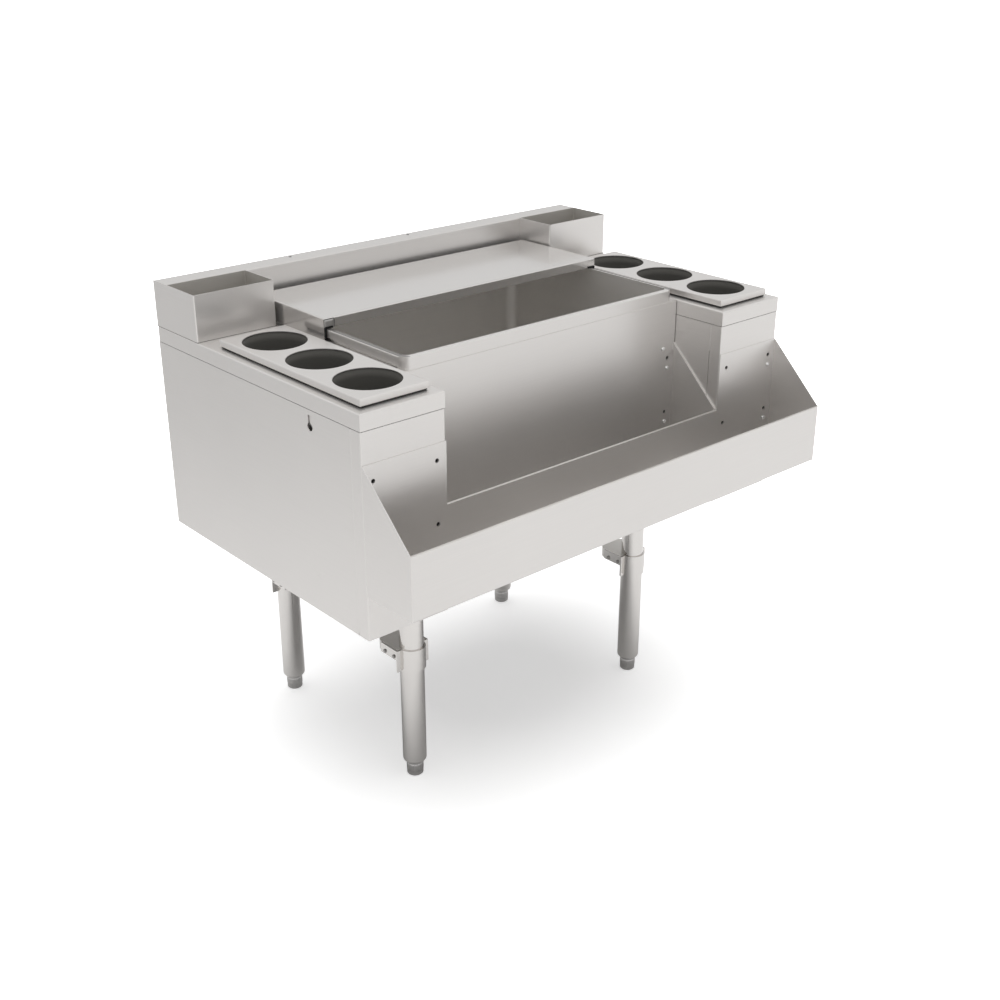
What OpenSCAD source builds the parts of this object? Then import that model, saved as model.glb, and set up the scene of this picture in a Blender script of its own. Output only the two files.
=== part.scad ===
// Underbar ice bin with two bottle cabinets, a two tier speed rail and a sliding cover.
// Shop frame used by the modules: X runs from the left side to the right side,
// Y runs back from the front of the bottle cabinets and Z runs up from the floor.
// Every node is then placed so that the origin is the bottom centre of the whole unit.

/* [Overall] */
// Width over both side panels
unit_w = 914.4; // [860:0.1:1000]
// Depth from the cabinet fronts to the back of the unit
body_d = 564; // [540:1:620]
// Height of the cabinet decks above the floor
deck_h = 752; // [720:1:800]
// Height of the underside of the cabinets above the floor
base_h = 397; // [360:1:430]
// Rise of the backsplash above the decks
splash_rise = 77; // [60:1:120]
// Depth of the hollow backsplash from its face to the back of the unit
splash_d = 42; // [34:1:55]

/* [Sheet metal] */
// Thickness of the stainless sheet
sheet_t = 1.2; // [1:0.1:1.6]
// Inside radius of a press brake bend
bend_r = 1.2; // [0.8:0.1:2]
// Width of the side returns on the cabinet front panels
return_w = 24; // [15:1:35]
// Thickness of a folded safety hem
hem_t = 3.6; // [2.8:0.1:5]
// Height of a folded safety hem
hem_h = 9; // [6:0.5:14]
// Gap left at a visible seam
seam_gap = 0.8; // [0.5:0.05:1]

/* [Bottle cabinets] */
// Width of each bottle cabinet
cabinet_w = 151; // [142:1:165]
// Depth of the skirt around each deck
skirt_h = 26; // [18:1:40]
// Width of the lift out bottle insert
insert_w = 122; // [116:1:128]
// Distance from the cabinet front to the insert
insert_front = 17.5; // [12:0.5:30]
// Depth of the turned down edge of the insert
insert_edge_h = 11; // [8:0.5:16]
// Width of the return lip under the insert edge
insert_lip_w = 6; // [5:0.5:9]
// Number of bottle holes in each insert
hole_count = 3; // [2:1:3]
// Diameter of a bottle hole
hole_dia = 102; // [90:1:104]
// Spacing of the bottle holes
hole_pitch = 122; // [112:1:124]
// Distance from the last hole to the end of the insert
hole_end_margin = 13.5; // [10:0.5:18]
// Depth of the bottle well below the deck
well_depth = 220; // [150:5:300]
// Corner radius of the bottle well
well_corner_r = 14; // [8:1:24]
// Width of the flange on which the bottle well hangs
well_flange_w = 3.5; // [2.5:0.25:5]
// Height of the hemmed edge of the bottle well above the deck
well_flange_h = 3; // [2:0.25:4]
// Distance that the well flange stays inside the insert edge
well_flange_inset = 4; // [3.5:0.25:4.5]

/* [Bottle risers] */
// Width of each riser box
riser_w = 148; // [138:1:151]
// Depth of each riser box from its face to the back of the unit
riser_d = 129; // [110:1:150]

/* [Ice bin] */
// Distance that the bin front is set back from the cabinet fronts
bin_setback = 106; // [95:1:120]
// Height of the raised rim above the decks
rim_h = 21; // [18:1:26]
// Width of the raised rim
rim_w = 7.5; // [6.5:0.5:9]
// Gap between the rim and each bottle cabinet
rim_gap = 8.5; // [8:0.5:12]
// Outside radius of the front corners of the rim
rim_corner_r = 16; // [12:1:22]
// Inside radius of the rim's opening at its corners
rim_inner_r = 12; // [8:1:18]
// Inside radius of the bends along the liner floor
liner_bend_r = 12; // [6:1:18]
// Height of the liner floor at its walls above the underside of the cabinets
liner_lift = 79; // [60:1:110]
// Fall of the liner floor from its walls to the drain
floor_fall = 8; // [4:1:14]
// Height of the open side lip above the decks, which the glides hook under
lip_clear = 7; // [6:0.5:9]

/* [Drain] */
// Outside diameter of the drain flange inside the bin
drain_flange_dia = 76; // [64:1:90]
// Thickness of the drain flange
drain_flange_t = 2.5; // [2:0.25:4]
// Outside diameter of the drain body below the liner
drain_body_dia = 44; // [38:1:50]
// Outside diameter of the free end of the drain tailpiece
tail_dia = 33.4; // [26.7:0.1:34]
// Length of the free end of the drain tailpiece
tail_grip = 50; // [30:1:70]
// Outside diameter of the tailpiece inside the drain body
tail_fit_dia = 36; // [34.5:0.5:37]
// Bore of the drain tailpiece
tail_bore = 26; // [20:0.5:27]
// Length of the tailpiece below the cabinets
tail_drop = 52; // [30:1:80]
// Diameter of one strainer hole
strainer_hole_dia = 5; // [3:0.5:6]

/* [Sliding cover] */
// Front to back size of the sliding cover
cover_d = 200; // [170:1:215]
// Gap between the cover and the backsplash when it is pushed back
cover_back_gap = 15; // [8:1:25]
// Depth of the front edge of the cover
cover_edge_h = 16.7; // [12:0.1:22]
// Depth of the sides of the cover
cover_side_h = 37; // [30:0.5:37.5]
// Thickness of the plastic glides
glide_t = 3; // [2.5:0.1:3.5]
// Width of the glide foot that rides on the rim
glide_foot_w = 12; // [10:0.5:14]
// Length that a glide stands forward of the cover
glide_nose = 2; // [1:0.5:4]
// Running clearance between a glide and the rim
glide_clear = 0.3; // [0.2:0.05:0.5]

/* [Speed rail] */
// Front to back depth of the outer rail
rail_d = 106; // [95:1:120]
// Height of the rail floor above the underside of the cabinets
rail_lift = 74; // [50:1:90]
// Height of the rail front
rail_front_h = 103; // [80:1:120]
// Drop from the decks to the top of the rail backs
rail_back_drop = 76.5; // [60:0.5:100]
// Diameter of the open mounting holes in the rail backs
rail_hole_dia = 7; // [5:0.5:9]
// Distance of the mounting holes from the end of a sheet
rail_hole_in = 18; // [12:0.5:25]
// Drop from a mounting hole to the screw below it
rail_screw_drop = 18; // [14:1:24]
// Diameter of a screw head
screw_head_dia = 7; // [5:0.5:9]
// Diameter of a screw shank
screw_dia = 4; // [3:0.5:5]
// Length of a cabinet screw under its head
screw_len = 9; // [5:0.5:12]

/* [Legs] */
// Outside diameter of a leg tube
leg_dia = 41.3; // [38:0.1:44]
// Wall of a leg tube
leg_wall = 1.6; // [1.2:0.1:2.5]
// Distance from the side of the bin to a leg centre
leg_in_x = 39; // [37:1:50]
// Distance from the bin front to a front leg centre
leg_in_front = 43; // [38:1:60]
// Distance from the back of the unit to a rear leg centre
leg_in_rear = 37; // [36.5:0.5:50]
// Width of the square plate of a leg socket
socket_plate_w = 72; // [60:1:73]
// Thickness of the leg socket plate
socket_plate_t = 3; // [2:0.5:5]
// Height of the leg socket collar
socket_h = 30; // [20:1:45]
// Wall of the leg socket collar
socket_wall = 3; // [2:0.5:5]
// Diameter of an adjustable foot
foot_dia = 28.6; // [24:0.2:32]
// Height of the foot below the leg
foot_h = 28; // [20:1:40]
// Diameter of the foot stem
foot_stem_dia = 15.9; // [12:0.1:18]
// Length of the foot stem inside the leg
foot_stem_len = 50; // [40:1:70]
// Length that the foot can be screwed out
foot_travel = 25; // [15:1:30]
// Depth of the threaded insert inside the leg
insert_plug_h = 22; // [16:1:30]

/* [Leg brackets] */
// Height of the top of the leg brackets above the floor
bracket_top_h = 254.5; // [210:0.5:310]
// Width of a leg bracket
bracket_w = 60; // [58:1:74]
// Length of a leg bracket from the leg centre
bracket_l = 60; // [56:1:90]
// Depth of the bracket flanges
bracket_flange_h = 18; // [14:0.5:24]
// Radius of the free corners of a bracket
bracket_corner_r = 16; // [8:1:20]
// Height of a leg clamp
clamp_h = 40; // [30:1:50]
// Thickness of a leg clamp
clamp_t = 3; // [2:0.25:4]
// Length of the clamp ears along the bracket
clamp_ear_l = 42; // [36:1:44]

/* [Hidden] */
$fn = 64;

// Round shapes that nothing else fits into
arc_steps = 4;
small_fn = 24;
// Overrun of a cut past the face that it opens
over = 1;
// Clearance around a piece that is fitted into another
slip_fit = 0.1;
well_fit = 0.2;

// Heights
back_h = deck_h + splash_rise;
seam_z = deck_h - skirt_h;
panel_top = seam_z - seam_gap;
rail_z = base_h + rail_lift;
rail_back_z = deck_h - rail_back_drop;
bin_sheet_z = deck_h - seam_gap;
rail_front_z = rail_z + rail_front_h;
rim_z = deck_h + rim_h;
// Lower and upper mounting holes as shares of the rail back's height
rail_hole_shares = [0.3716, 0.8704];
rail_hole_zs = [for (share = rail_hole_shares) rail_z + share * (rail_back_z - rail_z)];
liner_z = base_h + liner_lift;
// Depths
splash_y = body_d - splash_d;
riser_y = body_d - riser_d;
back_y = body_d - sheet_t;
// Widths
bin_x0 = cabinet_w;
bin_x1 = unit_w - cabinet_w;
mid_x = unit_w / 2;
// Raised rim and liner
rim_x0 = bin_x0 + rim_gap;
rim_x1 = bin_x1 - rim_gap;
liner_x0 = rim_x0 + rim_w;
liner_x1 = rim_x1 - rim_w;
liner_y0 = bin_setback + rim_w;
liner_y1 = splash_y - sheet_t;
drain_y = (liner_y0 + liner_y1) / 2;
lip_z = deck_h + lip_clear;
// Bottle inserts and wells
insert_rest = 0.3;
insert_x = (cabinet_w - insert_w) / 2;
insert_l = (hole_count - 1) * hole_pitch + hole_dia + 2 * hole_end_margin;
insert_bottom = deck_h + well_flange_h + insert_rest;
insert_top = insert_bottom + insert_edge_h;
well_in = well_flange_inset + well_flange_w;
well_x0 = insert_x + well_in;
well_x1 = insert_x + insert_w - well_in;
well_y0 = insert_front + well_in;
well_y1 = insert_front + insert_l - well_in;
hole_y0 = insert_front + hole_end_margin + hole_dia / 2;
// Sliding cover and its glides
cover_y1 = splash_y - cover_back_gap;
cover_y0 = cover_y1 - cover_d;
glide_out = glide_clear + glide_t;
cover_x0 = rim_x0 - glide_out - sheet_t;
cover_x1 = rim_x1 + glide_out + sheet_t;
cover_lift = 0.8;
cover_top = rim_z + cover_lift + cover_edge_h;
cover_bottom = cover_top - cover_side_h;
glide_x0 = cover_x0 + sheet_t;
glide_foot_z = rim_z + glide_clear;
glide_foot_top = glide_foot_z + glide_t;
glide_hook_drop = 1;
glide_hook_reach = 6;
glide_hook_z = lip_z - glide_hook_drop - glide_t;
// Keyhole in the outer side panels, for joining units side by side
keyhole_y = 124;
keyhole_drop = 53;
keyhole_z = deck_h - keyhole_drop;
keyhole_dia = 13;
keyhole_slot_w = 9;
keyhole_slot_h = 18;
// Legs, sockets, feet and brackets
set_screw_dia = 6;
set_screw_turn = [-90, 90];
insert_flange_h = 6;
leg_xs = [bin_x0 + leg_in_x, bin_x1 - leg_in_x];
leg_ys = [bin_setback + leg_in_front, body_d - leg_in_rear];
leg_r = leg_dia / 2;
leg_top = base_h - socket_plate_t;
thread_fit = 0.25;
foot_rest = 0.3;
clamp_in_r = leg_r + slip_fit;
clamp_out_r = clamp_in_r + clamp_t;
bracket_half = bracket_w / 2;
ear_out = bracket_half + clamp_t;
bracket_screw_drop = 12;
bracket_screw_shares = [0.14, 0.72];
// Drain
drain_seat_z = liner_z - floor_fall;
nut_h = 10;
nut_wall = 11;
nut_dia = drain_body_dia + 2 * nut_wall;
gasket_t = 3;
drain_body_len = 30;
service_gap = 8;
service_dia = nut_dia + 2 * service_gap;
strainer_t = 1.5;
strainer_rest = 6;
strainer_dia = tail_fit_dia + 2 * strainer_rest;
// Number of holes in a ring and the ring's share of the tailpiece diameter
strainer_ring_shares = [[6, 0.42], [12, 0.8]];
drain_bar_drop = 5;
strainer_bar = 5;
// Rail screws, each below a mounting hole, and one more higher up behind the bin rail
screw_head_h = 2;
low_screw_z = rail_hole_zs[0] - rail_screw_drop;
high_screw_z = rail_hole_zs[1] - rail_screw_drop;
cabinet_screws = [[rail_hole_in, low_screw_z], [rail_hole_in, high_screw_z]];
bin_screw_x = bin_x0 + rail_hole_in;
top_screw_step = 13;
bin_screws = [
  [bin_screw_x, low_screw_z], [bin_screw_x, high_screw_z],
  [bin_screw_x + top_screw_step, rail_back_z - screw_head_dia]
];
// Places of screws on the left, or mirrored to the right when side is 1
function sided(places, side) = [for (p = places) [side == 0 ? p[0] : unit_w - p[0], p[1]]];

// Unit vector, turned vector and sheet outlines
function unit(v) = v / norm(v);
function turned(v) = [-v[1], v[0]];
function crossed(a, b) = a[0] * b[1] - a[1] * b[0];
// Direction of the segment that leaves point i
function heading(p, i) = unit(p[i + 1] - p[i]);
// Point i of a path moved sideways by t, mitred at the bends
function beside(p, i, t) =
  i == 0 ? p[0] + turned(heading(p, 0)) * t :
  i == len(p) - 1 ? p[i] + turned(heading(p, i - 1)) * t :
  let (a = turned(heading(p, i - 1)), b = turned(heading(p, i)))
  p[i] + (a + b) * t / (1 + a * b);
// Arc that rounds corner b between a and c
function rounded(a, b, c, r) =
  let (
    u = unit(a - b),
    w = unit(c - b),
    half = acos(max(-1, min(1, u * w))) / 2,
    start = b + u * r / tan(half),
    end = b + w * r / tan(half),
    centre = b + unit(u + w) * r / sin(half),
    sweep = 180 - 2 * half
  )
  [for (k = [0 : arc_steps])
    centre + (sin((1 - k / arc_steps) * sweep) * (start - centre)
    + sin(k / arc_steps * sweep) * (end - centre)) / sin(sweep)];
// One face of a folded sheet: the path moved by t with each bend rounded
function sheet_face(p, t, extra_left, extra_right) =
  let (q = [for (i = [0 : len(p) - 1]) beside(p, i, t)])
  [for (i = [0 : len(p) - 1])
    each (i == 0 || i == len(p) - 1 ? [q[i]] :
      rounded(q[i - 1], q[i], q[i + 1], bend_r +
        (crossed(heading(p, i - 1), heading(p, i)) > 0 ? extra_left : extra_right)))];
// Outline of a sheet folded along a path, its thickness to the left of the path
function folded_outline(p) =
  let (near = sheet_face(p, 0, sheet_t, 0), far = sheet_face(p, sheet_t, 0, sheet_t))
  concat(near, [for (i = [len(far) - 1 : -1 : 0]) far[i]]);

// Frames and basic shapes
module placed() {
  translate([-mid_x, -(body_d - rail_d) / 2, 0])
    children();
}
module mirrored() {
  translate([unit_w, 0, 0])
    mirror([1, 0, 0])
      children();
}
// Outline in Y and Z carried along X
module along_x(x0, x1) {
  translate([x0, 0, 0])
    rotate([90, 0, 90])
      linear_extrude(x1 - x0)
        children();
}
// Outline in X and Z carried along Y
module along_y(y0, y1) {
  translate([0, y1, 0])
    rotate([90, 0, 0])
      linear_extrude(y1 - y0)
        children();
}
// Plan outline carried up
module along_z(z0, z1) {
  translate([0, 0, z0])
    linear_extrude(z1 - z0)
      children();
}
module slab(x0, x1, y0, y1, z0, z1) {
  translate([x0, y0, z0])
    cube([x1 - x0, y1 - y0, z1 - z0]);
}
// Rectangle with its front corners and its rear corners rounded
module plan(x0, x1, y0, y1, front_r, rear_r) {
  difference() {
    translate([x0, y0])
      square([x1 - x0, y1 - y0]);
    for (x = [x0, x1 - front_r], on = front_r > 0 ? [1] : [])
      translate([x, y0])
        square(front_r);
    for (x = [x0, x1 - rear_r], on = rear_r > 0 ? [1] : [])
      translate([x, y1 - rear_r])
        square(rear_r);
  }
  for (x = [x0 + front_r, x1 - front_r], on = front_r > 0 ? [1] : [])
    translate([x, y0 + front_r])
      circle(front_r);
  for (x = [x0 + rear_r, x1 - rear_r], on = rear_r > 0 ? [1] : [])
    translate([x, y1 - rear_r])
      circle(rear_r);
}
// Upright outline with rounded top corners where asked
function capped(a0, a1, z0, z1, r, low, high) = concat(
  [[a1, z0]],
  high ? rounded([a1, z0], [a1, z1], [a0, z1], r) : [[a1, z1]],
  low ? rounded([a1, z1], [a0, z1], [a0, z0], r) : [[a0, z1]],
  [[a0, z0]]
);
// Block with bent top edges: at both sides, at the front, and at the back if asked
module bent_block(x0, x1, y0, y1, z0, z1, r, back) {
  intersection() {
    along_y(y0, y1)
      polygon(capped(x0, x1, z0, z1, r, true, true));
    along_x(x0, x1)
      polygon(capped(y0, y1, z0, z1, r, true, back));
  }
}
// Sheet tray turned upside down
module tray(x0, x1, y0, y1, z0, z1, back) {
  t = sheet_t;
  y_in = back ? y1 - t : y1 + over;
  difference() {
    bent_block(x0, x1, y0, y1, z0, z1, bend_r + t, back);
    bent_block(x0 + t, x1 - t, y0 + t, y_in, z0 - over, z1 - t, bend_r, back);
  }
}

// Bottle cabinets
module rail_holes(x_list, y0, y1) {
  for (x = x_list, z = rail_hole_zs)
    translate([x, y0, z])
      rotate([-90, 0, 0])
        cylinder(d = rail_hole_dia, h = y1 - y0);
}
module screw_holes(places, y0, y1) {
  for (p = places)
    translate([p[0], y0, p[1]])
      rotate([-90, 0, 0])
        cylinder(d = screw_dia + thread_fit, h = y1 - y0, $fn = small_fn);
}

module side_panel() {
  difference() {
    slab(0, sheet_t, return_w + seam_gap, body_d, base_h, panel_top);
    translate([-over, keyhole_y, keyhole_z])
      rotate([0, 90, 0])
        cylinder(d = keyhole_dia, h = sheet_t + 2 * over, $fn = small_fn);
    slab(-over, sheet_t + over, keyhole_y - keyhole_slot_w / 2, keyhole_y + keyhole_slot_w / 2,
      keyhole_z, keyhole_z + keyhole_slot_h);
  }
}
module inner_panel() {
  slab(cabinet_w - sheet_t, cabinet_w, return_w + seam_gap, back_y, base_h, panel_top);
}
module front_panel() {
  difference() {
    along_z(base_h, panel_top)
      polygon(folded_outline([
        [0, return_w], [0, 0], [cabinet_w, 0], [cabinet_w, return_w]
      ]));
    rail_holes([rail_hole_in, cabinet_w - rail_hole_in], -over, sheet_t + over);
    screw_holes(cabinet_screws, -over, sheet_t + over);
  }
}
module floor_panel() {
  slab(sheet_t, cabinet_w - sheet_t, return_w, back_y, base_h, base_h + sheet_t);
  slab(sheet_t + bend_r, cabinet_w - sheet_t - bend_r, sheet_t, return_w, base_h, base_h + sheet_t);
}
module deck() {
  difference() {
    tray(0, cabinet_w, 0, back_y, seam_z, deck_h, false);
    slab(well_x0 - well_fit, well_x1 + well_fit, well_y0 - well_fit, well_y1 + well_fit,
      seam_z, deck_h + over);
  }
}
module bottle_well() {
  f = well_flange_w;
  difference() {
    union() {
      along_z(deck_h, deck_h + well_flange_h)
        plan(well_x0 - f, well_x1 + f, well_y0 - f, well_y1 + f, well_corner_r, well_corner_r);
      along_z(deck_h - well_depth, deck_h)
        plan(well_x0, well_x1, well_y0, well_y1, well_corner_r, well_corner_r);
    }
    along_z(deck_h - well_depth + sheet_t, deck_h + well_flange_h + over)
      plan(well_x0 + sheet_t, well_x1 - sheet_t, well_y0 + sheet_t, well_y1 - sheet_t,
        well_corner_r - sheet_t, well_corner_r - sheet_t);
  }
}
module bottle_insert() {
  x0 = insert_x;
  x1 = insert_x + insert_w;
  y0 = insert_front;
  y1 = insert_front + insert_l;
  lip = insert_lip_w;
  difference() {
    union() {
      tray(x0, x1, y0, y1, insert_bottom, insert_top, true);
      difference() {
        slab(x0 + sheet_t, x1 - sheet_t, y0 + sheet_t, y1 - sheet_t,
          insert_bottom, insert_bottom + sheet_t);
        slab(x0 + lip, x1 - lip, y0 + lip, y1 - lip,
          insert_bottom - over, insert_bottom + sheet_t + over);
      }
    }
    for (i = [0 : hole_count - 1])
      translate([cabinet_w / 2, hole_y0 + i * hole_pitch, insert_bottom])
        cylinder(d = hole_dia, h = insert_edge_h + over);
  }
}

// Risers and backsplash
module riser() {
  along_z(deck_h, back_h)
    polygon(folded_outline([
      [0, body_d], [0, riser_y], [riser_w, riser_y], [riser_w, splash_y]
    ]));
}
module backsplash() {
  color("lightgray")
    placed()
      along_x(sheet_t, unit_w - sheet_t)
        polygon(folded_outline([
          [body_d, seam_z], [body_d, back_h], [splash_y, back_h], [splash_y, deck_h]
        ]));
}
module back_panel() {
  color("darkgray")
    placed()
      slab(sheet_t, unit_w - sheet_t, back_y, body_d, base_h, panel_top);
}

// Ice bin
module bin_front_panel() {
  color("silver")
    placed()
      difference() {
        along_z(base_h, deck_h - sheet_t)
          polygon(folded_outline([
            [bin_x0, bin_setback + return_w], [bin_x0, bin_setback],
            [bin_x1, bin_setback], [bin_x1, bin_setback + return_w]
          ]));
        rail_holes([bin_screw_x, unit_w - bin_screw_x], bin_setback - over, bin_setback + sheet_t + over);
        for (side = [0, 1])
          screw_holes(sided(bin_screws, side), bin_setback - over, bin_setback + sheet_t + over);
      }
}
module bin_base_panel() {
  r = sheet_t + bend_r;
  y1 = bin_setback + return_w;
  color("darkgray")
    placed()
      difference() {
        union() {
          slab(bin_x0, bin_x1, y1, back_y, base_h, base_h + sheet_t);
          slab(bin_x0 + r, bin_x1 - r, bin_setback + sheet_t, y1, base_h, base_h + sheet_t);
        }
        translate([mid_x, drain_y, base_h - over])
          cylinder(d = service_dia, h = sheet_t + 2 * over);
      }
}
// Opening through the rim and the deck
module rim_opening(grow) {
  r = rim_inner_r + grow;
  plan(liner_x0 - grow, liner_x1 + grow, liner_y0 - grow, liner_y1 + grow, r, r);
}
// Space inside the liner, with its floor falling from front and back to the drain
module liner_space(grow, top) {
  front = liner_y0 - grow;
  rear = liner_y1 + grow;
  low = [drain_y, drain_seat_z - grow];
  front_low = [front, liner_z - grow];
  rear_low = [rear, liner_z - grow];
  r = liner_bend_r + grow;
  along_x(liner_x0 - grow, liner_x1 + grow)
    polygon(concat(
      [[rear, top], [front, top]],
      rounded([front, top], front_low, low, r), [low], rounded(low, rear_low, [rear, top], r)
    ));
  translate([mid_x, drain_y, drain_seat_z - grow])
    cylinder(d = drain_flange_dia + 4 * drain_flange_t + 2 * grow, h = floor_fall / 2 + grow);
}
// Shell of the liner between two heights in X
module liner_shell(x0, x1) {
  t = sheet_t;
  color("gainsboro")
    placed()
      intersection() {
        difference() {
          liner_space(t, rim_z - t);
          liner_space(0, rim_z);
          translate([mid_x, drain_y, drain_seat_z - t - over])
            cylinder(d = drain_body_dia + 2 * slip_fit, h = t + 2 * over);
        }
        slab(x0, x1, bin_setback, body_d, base_h, rim_z);
      }
}
module rim_block(inset, z0, z1) {
  x0 = rim_x0 + inset;
  x1 = rim_x1 - inset;
  y0 = bin_setback + inset;
  y1 = inset > 0 ? splash_y + over : splash_y;
  intersection() {
    bent_block(x0, x1, y0, y1, z0, z1, bend_r + sheet_t - inset, false);
    along_z(z0, z1)
      plan(x0, x1, y0, y1, rim_corner_r - inset, 0);
  }
}
module bin_deck() {
  color("silver")
    placed()
      difference() {
        slab(bin_x0, bin_x1, bin_setback, back_y, deck_h - sheet_t, deck_h);
        along_z(deck_h - sheet_t - over, deck_h + over)
          plan(liner_x0 - sheet_t, liner_x1 + sheet_t, liner_y0 - sheet_t, liner_y1 + sheet_t, 0, 0);
      }
}
// Raised rim: a folded frame with an outer lip, open along the sides for the glides
module bin_rim() {
  t = sheet_t;
  color("gainsboro")
    placed()
      difference() {
        rim_block(0, deck_h, rim_z);
        rim_block(t, deck_h - over, rim_z - t);
        for (x = [rim_x0 - over, rim_x1 - t])
          slab(x, x + t + over, bin_setback + rim_corner_r, splash_y + over, deck_h - over, lip_z);
        along_z(deck_h, rim_z + over)
          rim_opening(0);
      }
}
// Liner under the rim: one sheet down the front, along the floor and up the back, and two ends
module bin_liner() {
  liner_shell(liner_x0, liner_x1);
}
module liner_left_end() {
  liner_shell(liner_x0 - sheet_t, liner_x0);
}
module liner_right_end() {
  liner_shell(liner_x1, liner_x1 + sheet_t);
}
module bin_insulation() {
  r = sheet_t + bend_r;
  y1 = bin_setback + return_w;
  z0 = base_h + sheet_t;
  z1 = deck_h - sheet_t;
  color("khaki")
    placed()
      difference() {
        union() {
          slab(bin_x0, bin_x1, y1, back_y, z0, z1);
          slab(bin_x0 + r, bin_x1 - r, bin_setback + sheet_t, y1, z0, z1);
        }
        liner_space(sheet_t, z1 + over);
        translate([mid_x, drain_y, z0 - over])
          cylinder(d = service_dia, h = liner_z - z0);
        for (side = [0, 1])
          screw_holes(sided(bin_screws, side), bin_setback, bin_setback + rim_w);
      }
}

// Drain
module drain_at(z) {
  translate([mid_x, drain_y, z])
    children();
}
module drain_body() {
  bar_z = drain_seat_z - drain_bar_drop;
  color("silver")
    placed()
      difference() {
        union() {
          drain_at(drain_seat_z)
            cylinder(d = drain_flange_dia, h = drain_flange_t);
          drain_at(drain_seat_z - drain_body_len)
            cylinder(d = drain_body_dia, h = drain_body_len);
        }
        difference() {
          drain_at(drain_seat_z - drain_body_len - over)
            cylinder(d = tail_fit_dia + 2 * slip_fit, h = drain_body_len + drain_flange_t + 2 * over);
          drain_at(bar_z - strainer_bar)
            slab(-tail_fit_dia, tail_fit_dia, -strainer_bar / 2, strainer_bar / 2, 0, strainer_bar);
        }
        drain_at(drain_seat_z + drain_flange_t - strainer_t)
          cylinder(d = strainer_dia + 2 * slip_fit, h = strainer_t + over);
        drain_at(bar_z - strainer_bar - over)
          cylinder(d = screw_dia + slip_fit, h = strainer_bar + 2 * over, $fn = small_fn);
      }
}
module drain_gasket() {
  color("dimgray")
    placed()
      drain_at(drain_seat_z - sheet_t - gasket_t)
        difference() {
          cylinder(d = nut_dia, h = gasket_t);
          translate([0, 0, -over])
            cylinder(d = drain_body_dia + 2 * slip_fit, h = gasket_t + 2 * over);
        }
}
module drain_nut() {
  color("goldenrod")
    placed()
      drain_at(drain_seat_z - sheet_t - gasket_t - nut_h)
        difference() {
          cylinder(d = nut_dia, h = nut_h, $fn = 6);
          translate([0, 0, -over])
            cylinder(d = drain_body_dia + 2 * slip_fit, h = nut_h + 2 * over);
        }
}
module drain_tailpiece() {
  r = tail_dia / 2;
  fit_r = tail_fit_dia / 2;
  bore_r = tail_bore / 2;
  z0 = base_h - tail_drop;
  grip_z = z0 + tail_grip;
  z1 = drain_seat_z - drain_bar_drop - strainer_bar - over;
  color("silver")
    placed()
      drain_at(0)
        rotate_extrude()
          polygon([
            [bore_r, z0], [r, z0], [r, grip_z], [fit_r, grip_z + fit_r - r], [fit_r, z1], [bore_r, z1]
          ]);
}
module drain_strainer() {
  color("gainsboro")
    placed()
      drain_at(drain_seat_z + drain_flange_t - strainer_t)
        difference() {
          cylinder(d = strainer_dia, h = strainer_t);
          translate([0, 0, -over])
            cylinder(d = screw_dia + slip_fit, h = strainer_t + 2 * over, $fn = small_fn);
          for (ring = strainer_ring_shares, i = [0 : ring[0] - 1])
            rotate([0, 0, 360 * i / ring[0]])
              translate([ring[1] * tail_dia / 2, 0, -over])
                cylinder(d = strainer_hole_dia, h = strainer_t + 2 * over, $fn = small_fn);
        }
}
// Screw with its head on top and its shank pointing down
module screw(head_dia, head_h, len) {
  cylinder(d = head_dia, h = head_h * 0.5, $fn = small_fn);
  cylinder(d = head_dia * 0.8, h = head_h, $fn = small_fn);
  translate([0, 0, -len])
    cylinder(d = screw_dia, h = len + head_h * 0.5, $fn = small_fn);
}
module strainer_screw() {
  color("silver")
    placed()
      drain_at(drain_seat_z + drain_flange_t)
        screw(screw_head_dia, screw_head_h, drain_flange_t + drain_bar_drop + strainer_bar);
}

// Sliding cover
module sliding_cover() {
  t = sheet_t;
  x0 = cover_x0;
  x1 = cover_x1;
  edge_z = cover_top - cover_edge_h;
  foot_w = glide_foot_w + glide_t;
  color("gainsboro")
    placed()
      difference() {
        tray(x0, x1, cover_y0, cover_y1, cover_bottom, cover_top, true);
        slab(x0 + t, x1 - t, cover_y0 - over, cover_y1 + over, cover_bottom - over, edge_z);
        for (x = [x0 + t, x1 - t - foot_w])
          slab(x, x + foot_w, cover_y0 - over, cover_y1 + over, edge_z - over, glide_foot_top);
      }
}
module glide() {
  x0 = glide_x0;
  y0 = cover_y0 - glide_nose;
  slab(x0, x0 + glide_t, y0, cover_y1, glide_hook_z, glide_foot_top);
  slab(x0, x0 + glide_foot_w + glide_t, y0, cover_y1, glide_foot_z, glide_foot_top);
  slab(x0, x0 + glide_t + glide_hook_reach, y0, cover_y1, glide_hook_z, glide_hook_z + glide_t);
}

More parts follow.
